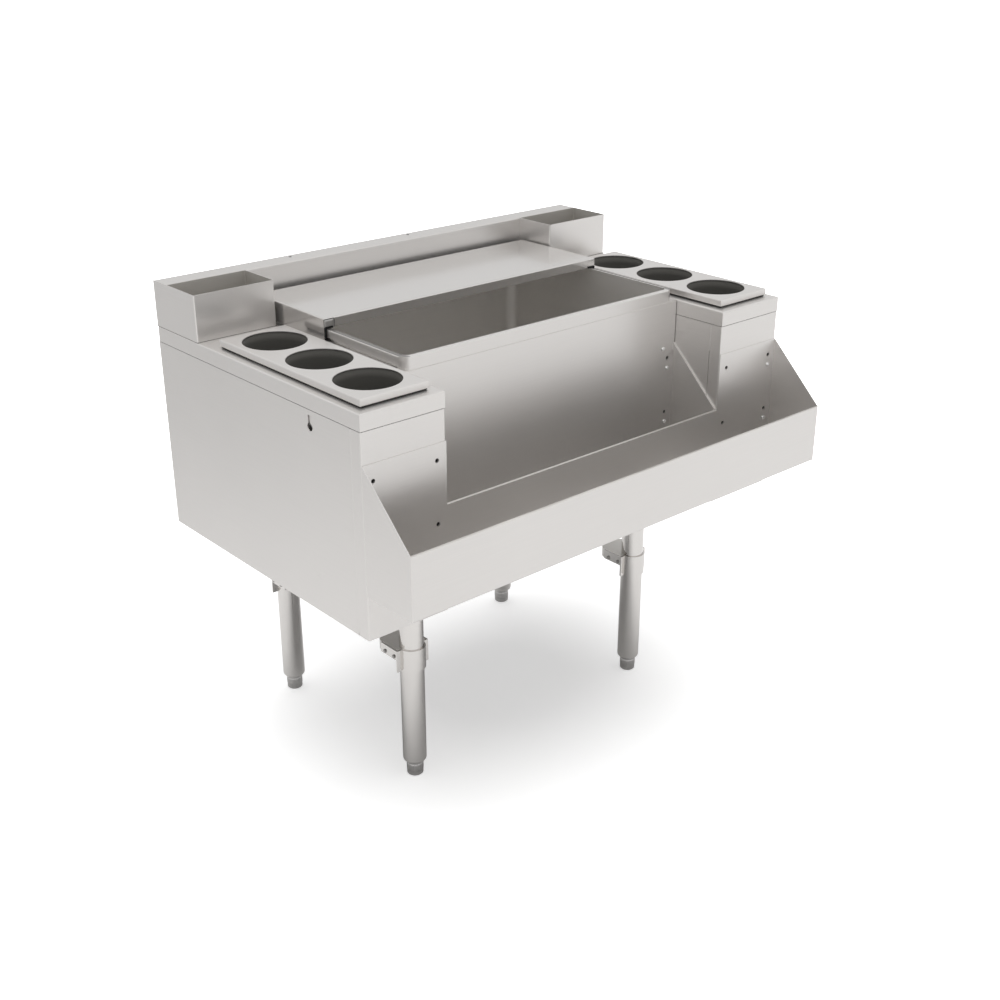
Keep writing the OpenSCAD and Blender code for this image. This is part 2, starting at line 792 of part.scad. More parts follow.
// Speed rail
module outer_trough(back_z) {
  polygon(folded_outline([
    [-rail_d, rail_front_z], [-rail_d, rail_z], [0, rail_z], [0, back_z]
  ]));
  translate([-rail_d, rail_front_z - hem_h])
    square([hem_t, hem_h]);
}
module outer_rail() {
  color("gainsboro")
    placed()
      difference() {
        union() {
          along_x(sheet_t, cabinet_w)
            outer_trough(rail_back_z);
          along_x(cabinet_w, unit_w - cabinet_w)
            outer_trough(rail_front_z);
          along_x(unit_w - cabinet_w, unit_w - sheet_t)
            outer_trough(rail_back_z);
        }
        rail_holes([
          rail_hole_in, cabinet_w - rail_hole_in,
          unit_w - rail_hole_in, unit_w - cabinet_w + rail_hole_in
        ], -sheet_t - over, over);
        for (side = [0, 1])
          screw_holes(sided(cabinet_screws, side), -sheet_t - over, over);
      }
}
module inner_rail() {
  color("silver")
    placed()
      difference() {
        along_x(bin_x0 + sheet_t, bin_x1 - sheet_t) {
          polygon(folded_outline([
            [0, rail_front_z], [0, rail_z], [bin_setback, rail_z], [bin_setback, bin_sheet_z]
          ]));
          translate([0, rail_front_z - hem_h])
            square([hem_t, hem_h]);
        }
        rail_holes([bin_screw_x, unit_w - bin_screw_x], bin_setback - sheet_t - over, bin_setback + over);
        for (side = [0, 1])
          screw_holes(sided(bin_screws, side), bin_setback - sheet_t - over, bin_setback + over);
      }
}
// Rail end with a sloping edge, from its low front y0 to its high back y1, hemmed if asked
module rail_end(x, y0, y1, hemmed) {
  slope = unit([y1 - y0, rail_back_z - rail_front_z]);
  drop = hem_h / slope[0];
  along_x(x, x + sheet_t)
    polygon([[y0, rail_z], [y1, rail_z], [y1, rail_back_z], [y0, rail_front_z]]);
  if (hemmed) intersection() {
    along_x(x + sheet_t, x + hem_t)
      polygon([
        [y0, rail_front_z - drop], [y1, rail_back_z - drop],
        [y1, rail_back_z], [y0, rail_front_z]
      ]);
    slab(x, x + hem_t, y0 + hem_t, y1 - sheet_t, rail_z, rail_back_z);
  }
}
module rail_screws() {
  color("silver")
    placed()
      for (side = [0, 1]) {
        for (p = sided(cabinet_screws, side))
          translate([p[0], -sheet_t, p[1]])
            rotate([90, 0, 0])
              screw(screw_head_dia, screw_head_h, screw_len);
        for (p = sided(bin_screws, side))
          translate([p[0], bin_setback - sheet_t, p[1]])
            rotate([90, 0, 0])
              screw(screw_head_dia, screw_head_h, rim_w - seam_gap);
      }
}

// Legs and feet
module at_leg(i, j) {
  translate([leg_xs[i], leg_ys[j], 0])
    children();
}
module leg(i, j) {
  z0 = foot_h + insert_flange_h;
  color("silver")
    placed()
      at_leg(i, j)
        difference() {
          translate([0, 0, z0])
            cylinder(d = leg_dia, h = leg_top - z0);
          translate([0, 0, z0 - over])
            cylinder(d = leg_dia - 2 * leg_wall, h = leg_top - z0 + 2 * over);
        }
}
module foot(i, j) {
  r = foot_dia / 2;
  stem = foot_stem_dia / 2;
  top = foot_h - foot_rest;
  chamfer = foot_dia / 16;
  color("gray")
    placed()
      at_leg(i, j)
        rotate_extrude()
          polygon([
            [0, 0], [r - chamfer, 0], [r, chamfer], [r, top], [stem, top],
            [stem, foot_h + foot_stem_len], [0, foot_h + foot_stem_len]
          ]);
}
module foot_inserts() {
  bore = foot_stem_dia / 2 + thread_fit;
  plug = leg_r - leg_wall - slip_fit;
  z1 = foot_h + insert_flange_h;
  z2 = z1 + insert_plug_h;
  shoulder = rounded([bore, foot_h], [leg_r, foot_h], [leg_r, z1], insert_flange_h * 0.9);
  color("gray")
    placed()
      for (i = [0, 1], j = [0, 1])
        at_leg(i, j)
          rotate_extrude()
            polygon(concat(
              [[bore, foot_h]], shoulder,
              [[leg_r, z1], [plug, z1], [plug, z2], [bore, z2]]
            ));
}
module leg_sockets() {
  w = socket_plate_w;
  bore = leg_dia + 2 * slip_fit;
  z0 = leg_top - socket_h;
  color("darkgray")
    placed()
      for (i = [0, 1], j = [0, 1])
        at_leg(i, j)
          difference() {
            union() {
              slab(-w / 2, w / 2, -w / 2, w / 2, leg_top, base_h);
              translate([0, 0, z0])
                cylinder(d = bore + 2 * socket_wall, h = socket_h + socket_plate_t / 2);
            }
            translate([0, 0, z0 - over])
              cylinder(d = bore, h = socket_h + over);
            translate([0, 0, z0 + socket_h / 2])
              rotate([0, set_screw_turn[i], 0])
                cylinder(d = set_screw_dia + 2 * slip_fit, h = bore, $fn = small_fn);
          }
}
module socket_set_screws() {
  color("dimgray")
    placed()
      for (i = [0, 1], j = [0, 1])
        at_leg(i, j)
          translate([0, 0, leg_top - socket_h / 2])
            rotate([0, set_screw_turn[i], 0])
              translate([0, 0, leg_r + slip_fit])
                cylinder(d = set_screw_dia, h = socket_wall + set_screw_dia / 3, $fn = small_fn);
}

// Brackets behind the front legs and before the rear legs, each held by a clamp
module at_bracket(i, j) {
  at_leg(i, j)
    mirror([0, j, 0])
      children();
}
module bracket_screw_places() {
  for (share = bracket_screw_shares, side = [-1, 1])
    translate([side * ear_out, share * clamp_ear_l, bracket_top_h - bracket_screw_drop])
      rotate([0, side * 90, 0])
        children();
}
module bracket() {
  w = bracket_half;
  t = sheet_t;
  z0 = bracket_top_h - bracket_flange_h;
  r = bracket_corner_r;
  difference() {
    along_z(z0, bracket_top_h)
      plan(-w, w, 0, bracket_l, 0, r);
    along_z(z0 - over, bracket_top_h - t)
      plan(t - w, w - t, -over, bracket_l - t, 0, r - t);
    translate([0, 0, z0 - over])
      cylinder(r = clamp_in_r, h = bracket_flange_h + 2 * over);
    bracket_screw_places()
      translate([0, 0, -clamp_t - 2 * t])
        cylinder(d = screw_dia + thread_fit, h = 3 * clamp_t, $fn = small_fn);
  }
}
module leg_clamp() {
  t = clamp_t;
  z0 = bracket_top_h - clamp_h;
  difference() {
    union() {
      difference() {
        translate([0, 0, z0])
          cylinder(r = clamp_out_r, h = clamp_h);
        translate([0, 0, z0 - over])
          cylinder(r = clamp_in_r, h = clamp_h + 2 * over);
        slab(-clamp_out_r - over, clamp_out_r + over, 0, clamp_out_r + over, z0 - over, bracket_top_h + over);
      }
      for (side = [0, 1])
        mirror([side, 0, 0]) {
          slab(clamp_in_r + slip_fit, ear_out, -t, 0, z0, bracket_top_h);
          slab(bracket_half, ear_out, -t, clamp_ear_l, bracket_top_h - bracket_flange_h, bracket_top_h);
        }
    }
    bracket_screw_places()
      translate([0, 0, -clamp_t - over])
        cylinder(d = screw_dia + thread_fit, h = clamp_t + 2 * over, $fn = small_fn);
  }
}
module front_brackets() {
  color("silver")
    placed()
      for (i = [0, 1])
        at_bracket(i, 0)
          bracket();
}
module rear_brackets() {
  color("silver")
    placed()
      for (i = [0, 1])
        at_bracket(i, 1)
          bracket();
}
module leg_clamps() {
  color("gainsboro")
    placed()
      for (i = [0, 1], j = [0, 1])
        at_bracket(i, j)
          leg_clamp();
}
module bracket_screws() {
  color("silver")
    placed()
      for (i = [0, 1], j = [0, 1])
        at_bracket(i, j)
          bracket_screw_places()
            screw(screw_head_dia, screw_head_h, clamp_t + 2 * sheet_t);
}

// Pieces that come in a left and a right hand
module cabinet_piece(right) {
  placed()
    if (right)
      mirrored()
        children();
    else
      children();
}
module left_side_panel() { color("silver") cabinet_piece(false) side_panel(); }
module right_side_panel() { color("silver") cabinet_piece(true) side_panel(); }
module left_inner_panel() { color("silver") cabinet_piece(false) inner_panel(); }
module right_inner_panel() { color("silver") cabinet_piece(true) inner_panel(); }
module left_front_panel() { color("gainsboro") cabinet_piece(false) front_panel(); }
module right_front_panel() { color("gainsboro") cabinet_piece(true) front_panel(); }
module left_floor_panel() { color("darkgray") cabinet_piece(false) floor_panel(); }
module right_floor_panel() { color("darkgray") cabinet_piece(true) floor_panel(); }
module left_deck() { color("gainsboro") cabinet_piece(false) deck(); }
module right_deck() { color("gainsboro") cabinet_piece(true) deck(); }
module left_bottle_well() { color("gray") cabinet_piece(false) bottle_well(); }
module right_bottle_well() { color("gray") cabinet_piece(true) bottle_well(); }
module left_bottle_insert() { color("gainsboro") cabinet_piece(false) bottle_insert(); }
module right_bottle_insert() { color("gainsboro") cabinet_piece(true) bottle_insert(); }
module left_riser() { color("silver") cabinet_piece(false) riser(); }
module right_riser() { color("silver") cabinet_piece(true) riser(); }
module left_glide() { color("black") cabinet_piece(false) glide(); }
module right_glide() { color("black") cabinet_piece(true) glide(); }
module outer_rail_left_end() { color("silver") cabinet_piece(false) rail_end(0, -rail_d, 0, false); }
module outer_rail_right_end() { color("silver") cabinet_piece(true) rail_end(0, -rail_d, 0, false); }
module inner_rail_left_end() { color("silver") cabinet_piece(false) rail_end(bin_x0, 0, bin_setback, true); }
module inner_rail_right_end() { color("silver") cabinet_piece(true) rail_end(bin_x0, 0, bin_setback, true); }
module front_left_leg() { leg(0, 0); }
module front_right_leg() { leg(1, 0); }
module rear_left_leg() { leg(0, 1); }
module rear_right_leg() { leg(1, 1); }
module front_left_foot() { foot(0, 0); }
module front_right_foot() { foot(1, 0); }
module rear_left_foot() { foot(0, 1); }
module rear_right_foot() { foot(1, 1); }

left_side_panel();
right_side_panel();
left_inner_panel();
right_inner_panel();
left_front_panel();
right_front_panel();
left_floor_panel();
right_floor_panel();
left_deck();
right_deck();
left_bottle_well();
right_bottle_well();
left_bottle_insert();
right_bottle_insert();
left_riser();
right_riser();
backsplash();
back_panel();
bin_front_panel();
bin_base_panel();
bin_deck();
bin_rim();
bin_liner();
liner_left_end();
liner_right_end();
bin_insulation();
drain_body();
drain_gasket();
drain_nut();
drain_tailpiece();
drain_strainer();
strainer_screw();
sliding_cover();
left_glide();
right_glide();
outer_rail();
outer_rail_left_end();
outer_rail_right_end();
inner_rail();
inner_rail_left_end();
inner_rail_right_end();
rail_screws();
front_left_leg();
front_right_leg();
rear_left_leg();
rear_right_leg();
front_left_foot();
front_right_foot();
rear_left_foot();
rear_right_foot();
leg_sockets();
socket_set_screws();
foot_inserts();
front_brackets();
rear_brackets();
leg_clamps();
bracket_screws();
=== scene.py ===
# %% [markdown]
# # An underbar ice bin in stainless steel
# Nearly all of this object is one material: 1.2 mm stainless sheet with a satin finish, cut,
# folded and welded. What makes such a picture convincing is not pattern but light: every sheet
# mirrors its surroundings softly, so bright outer faces meet dark hollows, and each fold and
# hem catches a thin line of light. The imported CAD model gives every sheet its true place.
# This lesson lights it, gives each metal its finish, and adds the rolled edge, sealant, ground
# seams and fasteners that a CAD model of flat sheets leaves out. Some colours paint shade and
# light, and some black pieces paint shade.

# %% Load the imported CAD frame
import math

import bmesh
import bpy
import numpy as np
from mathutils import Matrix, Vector


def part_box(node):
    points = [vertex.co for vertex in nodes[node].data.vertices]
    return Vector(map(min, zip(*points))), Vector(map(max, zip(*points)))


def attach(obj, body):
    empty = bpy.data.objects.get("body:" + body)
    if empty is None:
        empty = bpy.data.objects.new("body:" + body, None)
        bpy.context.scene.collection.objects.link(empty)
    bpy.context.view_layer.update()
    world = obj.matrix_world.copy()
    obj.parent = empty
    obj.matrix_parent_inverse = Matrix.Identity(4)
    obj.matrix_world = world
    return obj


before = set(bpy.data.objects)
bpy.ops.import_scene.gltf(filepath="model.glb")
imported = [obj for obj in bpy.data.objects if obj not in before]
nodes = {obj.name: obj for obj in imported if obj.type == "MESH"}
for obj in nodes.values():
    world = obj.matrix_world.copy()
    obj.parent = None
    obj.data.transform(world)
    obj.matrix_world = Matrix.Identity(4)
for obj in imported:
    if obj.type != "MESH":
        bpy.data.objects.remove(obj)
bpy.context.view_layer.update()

# %% [markdown]
# ## The camera
# The photograph's straight edges were solved for the camera that took it: it stands to the
# left and in front, 1.39 m above the floor and 0.64 m above the deck, and looks down by 24
# degrees. A level horizon means that it has no roll, so two angles give its turn.

# %% Put the camera where the photograph was taken
CAMERA_PLACE = Vector((-1.4527, -1.6497, 1.3894))
CAMERA_HEADING = 41.38
CAMERA_TILT = 23.91
FOCAL_PIXELS = 1345.4
IMAGE_PIXELS = 1000.0

camera_data = bpy.data.cameras.new("camera")
camera_data.sensor_width = 36.0
camera_data.lens = FOCAL_PIXELS / IMAGE_PIXELS * camera_data.sensor_width
camera_data.clip_end = 50.0
camera = bpy.data.objects.new("camera", camera_data)
bpy.context.scene.collection.objects.link(camera)
camera.location = CAMERA_PLACE
camera.rotation_euler = (math.radians(90 - CAMERA_TILT), 0.0, math.radians(-CAMERA_HEADING))
bpy.context.scene.camera = camera
print("lens", round(camera_data.lens, 2), "mm")

# %% [markdown]
# ## The white studio
# The photograph has one even white light from all round: no lamp shows in the steel, and the
# only shadow is the soft, compact one under the body. A white world and one very wide sun
# overhead share the work: on an open white floor they add up to 1, at which a colour renders
# as it is written, and the sun draws the shadow. Metal doesn't see the sun, or each fold
# would carry a bright line that the real one lacks. It sees the white room, a little dimmer
# behind the object on the right, because steel shows every wall of the room it stands in.

# %% White world
BACK_RIGHT = (0.66, 0.75, 0.0)
FAR_WALL_LEVEL = 0.76
DOME_SHARE = 0.45

world = bpy.data.worlds.new("studio")
bpy.context.scene.world = world
world.use_nodes = True
wt = world.node_tree
wt.nodes.clear()


def tree_math(tree, operation, a, b, clamp=False):
    """Math node in any node tree; a and b are sockets or numbers."""
    node = tree.nodes.new("ShaderNodeMath")
    node.operation = operation
    node.use_clamp = clamp
    for i, value in enumerate((a, b)):
        if isinstance(value, (int, float)):
            node.inputs[i].default_value = value
        else:
            tree.links.new(value, node.inputs[i])
    return node.outputs[0]


w_out = wt.nodes.new("ShaderNodeOutputWorld")
w_path = wt.nodes.new("ShaderNodeLightPath")
w_coord = wt.nodes.new("ShaderNodeTexCoord")
w_dot = wt.nodes.new("ShaderNodeVectorMath")
w_dot.operation = "DOT_PRODUCT"
w_dot.inputs[1].default_value = BACK_RIGHT
wt.links.new(w_coord.outputs["Generated"], w_dot.inputs[0])
toward_back = tree_math(wt, "MULTIPLY", w_dot.outputs["Value"], 1.0, clamp=True)
dimming = tree_math(wt, "MULTIPLY", toward_back, FAR_WALL_LEVEL - 1.0)
only_mirrors = tree_math(wt, "MULTIPLY", dimming, w_path.outputs["Is Glossy Ray"])
diffuse_loss = tree_math(wt, "MULTIPLY", w_path.outputs["Is Diffuse Ray"], DOME_SHARE - 1.0)
w_level = tree_math(wt, "ADD", tree_math(wt, "ADD", only_mirrors, diffuse_loss), 1.0)
w_light = wt.nodes.new("ShaderNodeBackground")
w_light.inputs["Color"].default_value = (1, 1, 1, 1)
wt.links.new(w_level, w_light.inputs["Strength"])
wt.links.new(w_light.outputs[0], w_out.inputs["Surface"])
print("far wall", FAR_WALL_LEVEL)

# %% Wide sun overhead
SUN_WIDTH = 62.0
SUN_TILT = (4.0, 3.0)

sun_data = bpy.data.lights.new("overhead", "SUN")
sun_data.energy = math.pi * (1.0 - DOME_SHARE)
sun_data.angle = math.radians(SUN_WIDTH)
sun = bpy.data.objects.new("overhead", sun_data)
bpy.context.scene.collection.objects.link(sun)
sun.rotation_euler = (math.radians(SUN_TILT[0]), math.radians(SUN_TILT[1]), 0.0)
sun.location = (0.0, 0.0, 3.0)
sun.visible_glossy = False
print("sun", round(sun_data.energy, 2))

# %% [markdown]
# ## A floor that keeps its shadow
# The photograph's floor is pure white up to a compact grey shadow. The floor is matt, and it
# also glows a little: for the eye by a constant and a part that grows with the distance from
# the shadow's centre, which pulls the shadow's edge in. The steel sees another glow. It is
# absent under the object, where the real floor is in shade, and weaker far out on the left,
# where the studio's floor ends. So the legs turn a dark side towards the middle.

# %% Floor that keeps its shadow
FLOOR_HALF = 30.0
FLOOR_COLOUR = 0.80
FLOOR_GLOW = 0.37
SHADOW_CENTRE = (0.04, 0.045, 0.0)
SHADOW_CORE = 0.14
SHADOW_FADE = 0.65
MIRROR_GLOW = 0.25
SHADE_REACH = 0.30
SHADE_FADE = 4.0
FLOOR_LEFT = (-0.66, 0.75, 0.0)
LEFT_START = 0.75
LEFT_FADE = 0.6
LEFT_LOSS = 0.40


def grid_mesh(name, x, y, z):
    """Mesh over a grid of points: x, y and z are arrays of the same two dimensions."""
    rows, cols = x.shape
    points = np.stack([x, y, z], axis=-1).reshape(-1, 3)
    a = (np.arange(rows - 1)[:, None] * cols + np.arange(cols - 1)[None, :]).ravel()
    quads = np.stack([a, a + 1, a + cols + 1, a + cols], axis=1)
    mesh = bpy.data.meshes.new(name)
    mesh.from_pydata(points.tolist(), [], quads.tolist())
    obj = bpy.data.objects.new(name, mesh)
    bpy.context.scene.collection.objects.link(obj)
    return obj


u, v = np.meshgrid(*[np.linspace(-FLOOR_HALF, FLOOR_HALF, 3)] * 2)
floor = grid_mesh("floor", u, v, np.zeros_like(u))
floor_mat = bpy.data.materials.new("floor_white")
floor_mat.use_nodes = True
ft = floor_mat.node_tree
ft.nodes.clear()
f_out = ft.nodes.new("ShaderNodeOutputMaterial")
f_diffuse = ft.nodes.new("ShaderNodeBsdfDiffuse")
f_diffuse.inputs["Color"].default_value = (FLOOR_COLOUR,) * 3 + (1,)
f_glow = ft.nodes.new("ShaderNodeEmission")
f_glow.inputs["Color"].default_value = (1, 1, 1, 1)
f_path = ft.nodes.new("ShaderNodeLightPath")
f_coord = ft.nodes.new("ShaderNodeTexCoord")


def floor_measure(operation, other):
    """Dot product with, or distance from, another vector at each point of the floor."""
    node = ft.nodes.new("ShaderNodeVectorMath")
    node.operation = operation
    node.inputs[1].default_value = other
    ft.links.new(f_coord.outputs["Object"], node.inputs[0])
    return node.outputs["Value"]


def ramp(value, start, slope):
    """Socket that rises from 0 at start to 1 by slope per unit."""
    past = tree_math(ft, "SUBTRACT", value, start)
    return tree_math(ft, "MULTIPLY", past, slope, clamp=True)


leftness = ramp(floor_measure("DOT_PRODUCT", FLOOR_LEFT), LEFT_START, LEFT_FADE)
left_loss = tree_math(ft, "MULTIPLY", leftness, LEFT_LOSS)
open_floor = ramp(floor_measure("DISTANCE", (0.0, 0.0, 0.0)), SHADE_REACH, SHADE_FADE)
mirror_glow = tree_math(ft, "SUBTRACT", MIRROR_GLOW, left_loss)
mirror_glow = tree_math(ft, "MULTIPLY", mirror_glow, open_floor)
glow_mirror = tree_math(ft, "MULTIPLY", mirror_glow, f_path.outputs["Is Glossy Ray"])
edge_glow = ramp(floor_measure("DISTANCE", SHADOW_CENTRE), SHADOW_CORE, SHADOW_FADE)
eye_glow = tree_math(ft, "ADD", edge_glow, FLOOR_GLOW)
glow_camera = tree_math(ft, "MULTIPLY", f_path.outputs["Is Camera Ray"], eye_glow)
ft.links.new(tree_math(ft, "ADD", glow_mirror, glow_camera), f_glow.inputs["Strength"])
f_add = ft.nodes.new("ShaderNodeAddShader")
ft.links.new(f_diffuse.outputs[0], f_add.inputs[0])
ft.links.new(f_glow.outputs[0], f_add.inputs[1])
ft.links.new(f_add.outputs[0], f_out.inputs["Surface"])
floor.data.materials.append(floor_mat)
print("floor colour", FLOOR_COLOUR, "with a glow of", FLOOR_GLOW)

# %% [markdown]
# ## The brushed finish
# Satin sheet has passed under an abrasive belt, which leaves thousands of short scratches in
# one direction. From a few metres they can't be seen one by one: they only stretch the
# reflections and mottle the gloss a little. One node group makes that grain from noise that
# is squeezed across the scratches, and puts out a mottling for colour and roughness and a
# height for the bump. Each sheet chooses its own direction.

# %% Node group for the grain
CLOUD_SCALE = 5.0
SCRATCHES_ACROSS = 900.0
SCRATCHES_ALONG = 12.0
SCRATCH_DEPTH = 0.0002


def group_socket(group, name, in_out, kind, value=None):
    """New socket in the interface of a node group."""
    socket = group.interface.new_socket(name=name, in_out=in_out, socket_type=kind)
    if value is not None:
        socket.default_value = value
    return socket


grain = bpy.data.node_groups.new("brushed_grain", "ShaderNodeTree")
group_socket(grain, "Stretch", "INPUT", "NodeSocketVector", (1.0, 1.0, 1.0))
group_socket(grain, "Mottle", "INPUT", "NodeSocketFloat", 0.04)
group_socket(grain, "Tint", "INPUT", "NodeSocketColor", (0.7, 0.7, 0.7, 1))
group_socket(grain, "Roughness", "INPUT", "NodeSocketFloat", 0.36)
group_socket(grain, "Color", "OUTPUT", "NodeSocketColor")
group_socket(grain, "Roughness", "OUTPUT", "NodeSocketFloat")
group_socket(grain, "Height", "OUTPUT", "NodeSocketFloat")
g_in = grain.nodes.new("NodeGroupInput")
g_out = grain.nodes.new("NodeGroupOutput")
g_coord = grain.nodes.new("ShaderNodeTexCoord")
g_scale = grain.nodes.new("ShaderNodeVectorMath")
g_scale.operation = "MULTIPLY"
g_fine = grain.nodes.new("ShaderNodeTexNoise")
g_fine.inputs["Scale"].default_value = 1.0
g_fine.inputs["Detail"].default_value = 2.0
g_cloud = grain.nodes.new("ShaderNodeTexNoise")
g_cloud.inputs["Scale"].default_value = CLOUD_SCALE
g_cloud.inputs["Detail"].default_value = 2.0
grain.links.new(g_coord.outputs["Object"], g_scale.inputs[0])
grain.links.new(g_in.outputs["Stretch"], g_scale.inputs[1])
grain.links.new(g_scale.outputs[0], g_fine.inputs["Vector"])
grain.links.new(g_coord.outputs["Object"], g_cloud.inputs["Vector"])

fine = tree_math(grain, "SUBTRACT", g_fine.outputs["Fac"], 0.5)
cloud = tree_math(grain, "SUBTRACT", g_cloud.outputs["Fac"], 0.5)
both = tree_math(grain, "ADD", fine, cloud)
swing = tree_math(grain, "MULTIPLY", both, g_in.outputs["Mottle"])
g_tint = grain.nodes.new("ShaderNodeVectorMath")
g_tint.operation = "SCALE"
grain.links.new(g_in.outputs["Tint"], g_tint.inputs[0])
grain.links.new(tree_math(grain, "ADD", swing, 1.0), g_tint.inputs["Scale"])
grain.links.new(g_tint.outputs[0], g_out.inputs["Color"])
rough = tree_math(grain, "ADD", g_in.outputs["Roughness"], swing)
grain.links.new(rough, g_out.inputs["Roughness"])
grain.links.new(g_fine.outputs["Fac"], g_out.inputs["Height"])
print("grain group with", len(grain.nodes), "nodes")


# %% Steel for each direction of brushing
def steel(name, tint, roughness, along, mottle=0.05, bump=0.06, metallic=0.80):
    """Brushed steel whose scratches run along the given axis."""
    mat = bpy.data.materials.new(name)
    mat.use_nodes = True
    t = mat.node_tree
    shader = t.nodes["Principled BSDF"]
    group = t.nodes.new("ShaderNodeGroup")
    group.node_tree = grain
    group.inputs["Stretch"].default_value = tuple(
        SCRATCHES_ALONG if axis == along else SCRATCHES_ACROSS for axis in "XYZ"
    )
    group.inputs["Mottle"].default_value = mottle
    group.inputs["Tint"].default_value = (*tint, 1.0)
    group.inputs["Roughness"].default_value = roughness
    bump_node = t.nodes.new("ShaderNodeBump")
    bump_node.inputs["Strength"].default_value = bump
    bump_node.inputs["Distance"].default_value = SCRATCH_DEPTH
    shader.inputs["Metallic"].default_value = metallic
    t.links.new(group.outputs["Color"], shader.inputs["Base Color"])
    t.links.new(group.outputs["Roughness"], shader.inputs["Roughness"])
    t.links.new(group.outputs["Height"], bump_node.inputs["Height"])
    t.links.new(bump_node.outputs["Normal"], shader.inputs["Normal"])
    return mat


SATIN = (0.712, 0.692, 0.673)
sheet_x = steel("satin_sheet_x", SATIN, 0.34, "X")
sheet_y = steel("satin_sheet_y", SATIN, 0.34, "Y")
sheet_z = steel("satin_sheet_z", SATIN, 0.34, "Z")
tube_steel = steel("leg_tube_steel", (0.68, 0.66, 0.64), 0.13, "Z", metallic=1.0)
splash_steel = steel("splash_steel", (0.668, 0.650, 0.633), 0.34, "X")
streaked_steel = steel("streaked_steel", SATIN, 0.34, "X", mottle=0.12, bump=0.10)
# liner steel is lighter than the outer sheet: painted light that lifts the bin's shaded inside
liner_steel = steel("liner_steel", (0.80, 0.78, 0.755), 0.42, "X")
# underside sheets: very dark steel, a painted shade for the shade under the body
under_shaded_steel = steel("under_shaded_steel", (0.30, 0.29, 0.28), 0.50, "Y", mottle=0.08)
foot_steel = steel("foot_steel", (0.50, 0.49, 0.48), 0.30, "Z", metallic=1.0)
mill_finish = steel("mill_finish", (0.56, 0.54, 0.51), 0.55, "X", mottle=0.10, metallic=0.7)
tab_steel = steel("tab_steel", (0.42, 0.41, 0.40), 0.40, "X")
plated = steel("zinc_plate", (0.55, 0.55, 0.55), 0.45, "Z")
screw_steel = steel("screw_steel", (0.85, 0.85, 0.84), 0.22, "X")
# near black: painted shade in the holes behind the rail, and the colour of the backsplash plugs
dark_metal = steel("dark_metal", (0.10, 0.10, 0.10), 0.5, "X")
black_screw = steel("black_screw", (0.34, 0.33, 0.32), 0.4, "X", metallic=0.9)


def plain(name, colour, roughness, metallic=0.0, specular=0.5):
    """Material of one colour with a fine mottling from the same grain group."""
    mat = steel(name, colour, roughness, "X", mottle=0.08, bump=0.05, metallic=metallic)
    mat.node_tree.nodes["Principled BSDF"].inputs["Specular IOR Level"].default_value = specular
    return mat


black_plastic = plain("black_plastic", (0.008, 0.008, 0.008), 0.5, specular=0.2)
well_plastic = plain("well_plastic", (0.135, 0.131, 0.120), 0.7, specular=0.1)
foam = plain("foam", (0.80, 0.74, 0.52), 0.8)
# black rubber for the drain gasket; the same black paints shade in the insert gap and round the
# cover tab
gasket_rubber = plain("gasket_rubber", (0.03, 0.03, 0.03), 0.7)
old_sealant = plain("old_sealant", (0.16, 0.15, 0.14), 0.6)
brass = plain("brass", (0.72, 0.52, 0.24), 0.3, 1.0)
print(len(bpy.data.materials), "materials")

# %% [markdown]
# ## Painted shade and light on the rim, cover, rail and brackets
# The cover rides over the rim's sides on two plastic glides, and there the rim's top faces lie
# in its shade: they are painted dull and grey, a painted shade, while the front lip stays
# bright. The same steel gets a mask that is 1 only on faces that look up and lie near the two
# sides, and the mask darkens the colour.
#
# Other masks work alike. A crisp dark line parts the cover from the backsplash: it is shade,
# painted dark along the cover's back edge. The floor of the outer rail is painted lighter,
# a painted light, on faces that look up, in soft patches drawn by a coarse noise. And the top
# faces of the leg brackets, which lie in deep shade, are painted brighter than their sides.

# %% Painted shade and light for the rim, cover, rail and brackets
RIM_SHADE_X = 0.283
RIM_SHADE_FADE = 180.0
COVER_SHADE_Y = 0.2745
COVER_SHADE_FADE = 1000.0
PATCH_SCALE = 9.0
PATCH_START = 0.40
PATCH_FADE = 4.0
FACING_UP = 0.7


def object_axis(t, axis):
    """Socket with one of the object coordinates."""
    coord = t.nodes.new("ShaderNodeTexCoord")
    parts = t.nodes.new("ShaderNodeSeparateXYZ")
    t.links.new(coord.outputs["Object"], parts.inputs[0])
    return parts.outputs[axis]


def masked_steel(name, tint, other, mask_of, roughness=0.34):
    """Brushed steel that takes the colour other where the mask is 1."""
    mat = steel(name, tint, roughness, "X")
    t = mat.node_tree
    group = next(node for node in t.nodes if node.bl_idname == "ShaderNodeGroup")
    mix = t.nodes.new("ShaderNodeMix")
    mix.data_type = "RGBA"
    t.links.new(mask_of(t), mix.inputs[0])
    t.links.new(group.outputs["Color"], mix.inputs[6])
    mix.inputs[7].default_value = (*other, 1.0)
    t.links.new(mix.outputs[2], t.nodes["Principled BSDF"].inputs["Base Color"])
    return mat


def facing_up(t):
    """Socket that is 1 on faces which look up."""
    geometry = t.nodes.new("ShaderNodeNewGeometry")
    parts = t.nodes.new("ShaderNodeSeparateXYZ")
    t.links.new(geometry.outputs["Normal"], parts.inputs[0])
    return tree_math(t, "GREATER_THAN", parts.outputs["Z"], FACING_UP)


def rim_shade_mask(t):
    """Socket that is 1 on the upper faces of the rim's sides and fades at the corners, where shade
    is painted.
    """
    out = tree_math(t, "ABSOLUTE", object_axis(t, "X"), 0.0)
    past = tree_math(t, "SUBTRACT", out, RIM_SHADE_X)
    side = tree_math(t, "MULTIPLY", past, RIM_SHADE_FADE, clamp=True)
    return tree_math(t, "MULTIPLY", side, facing_up(t))


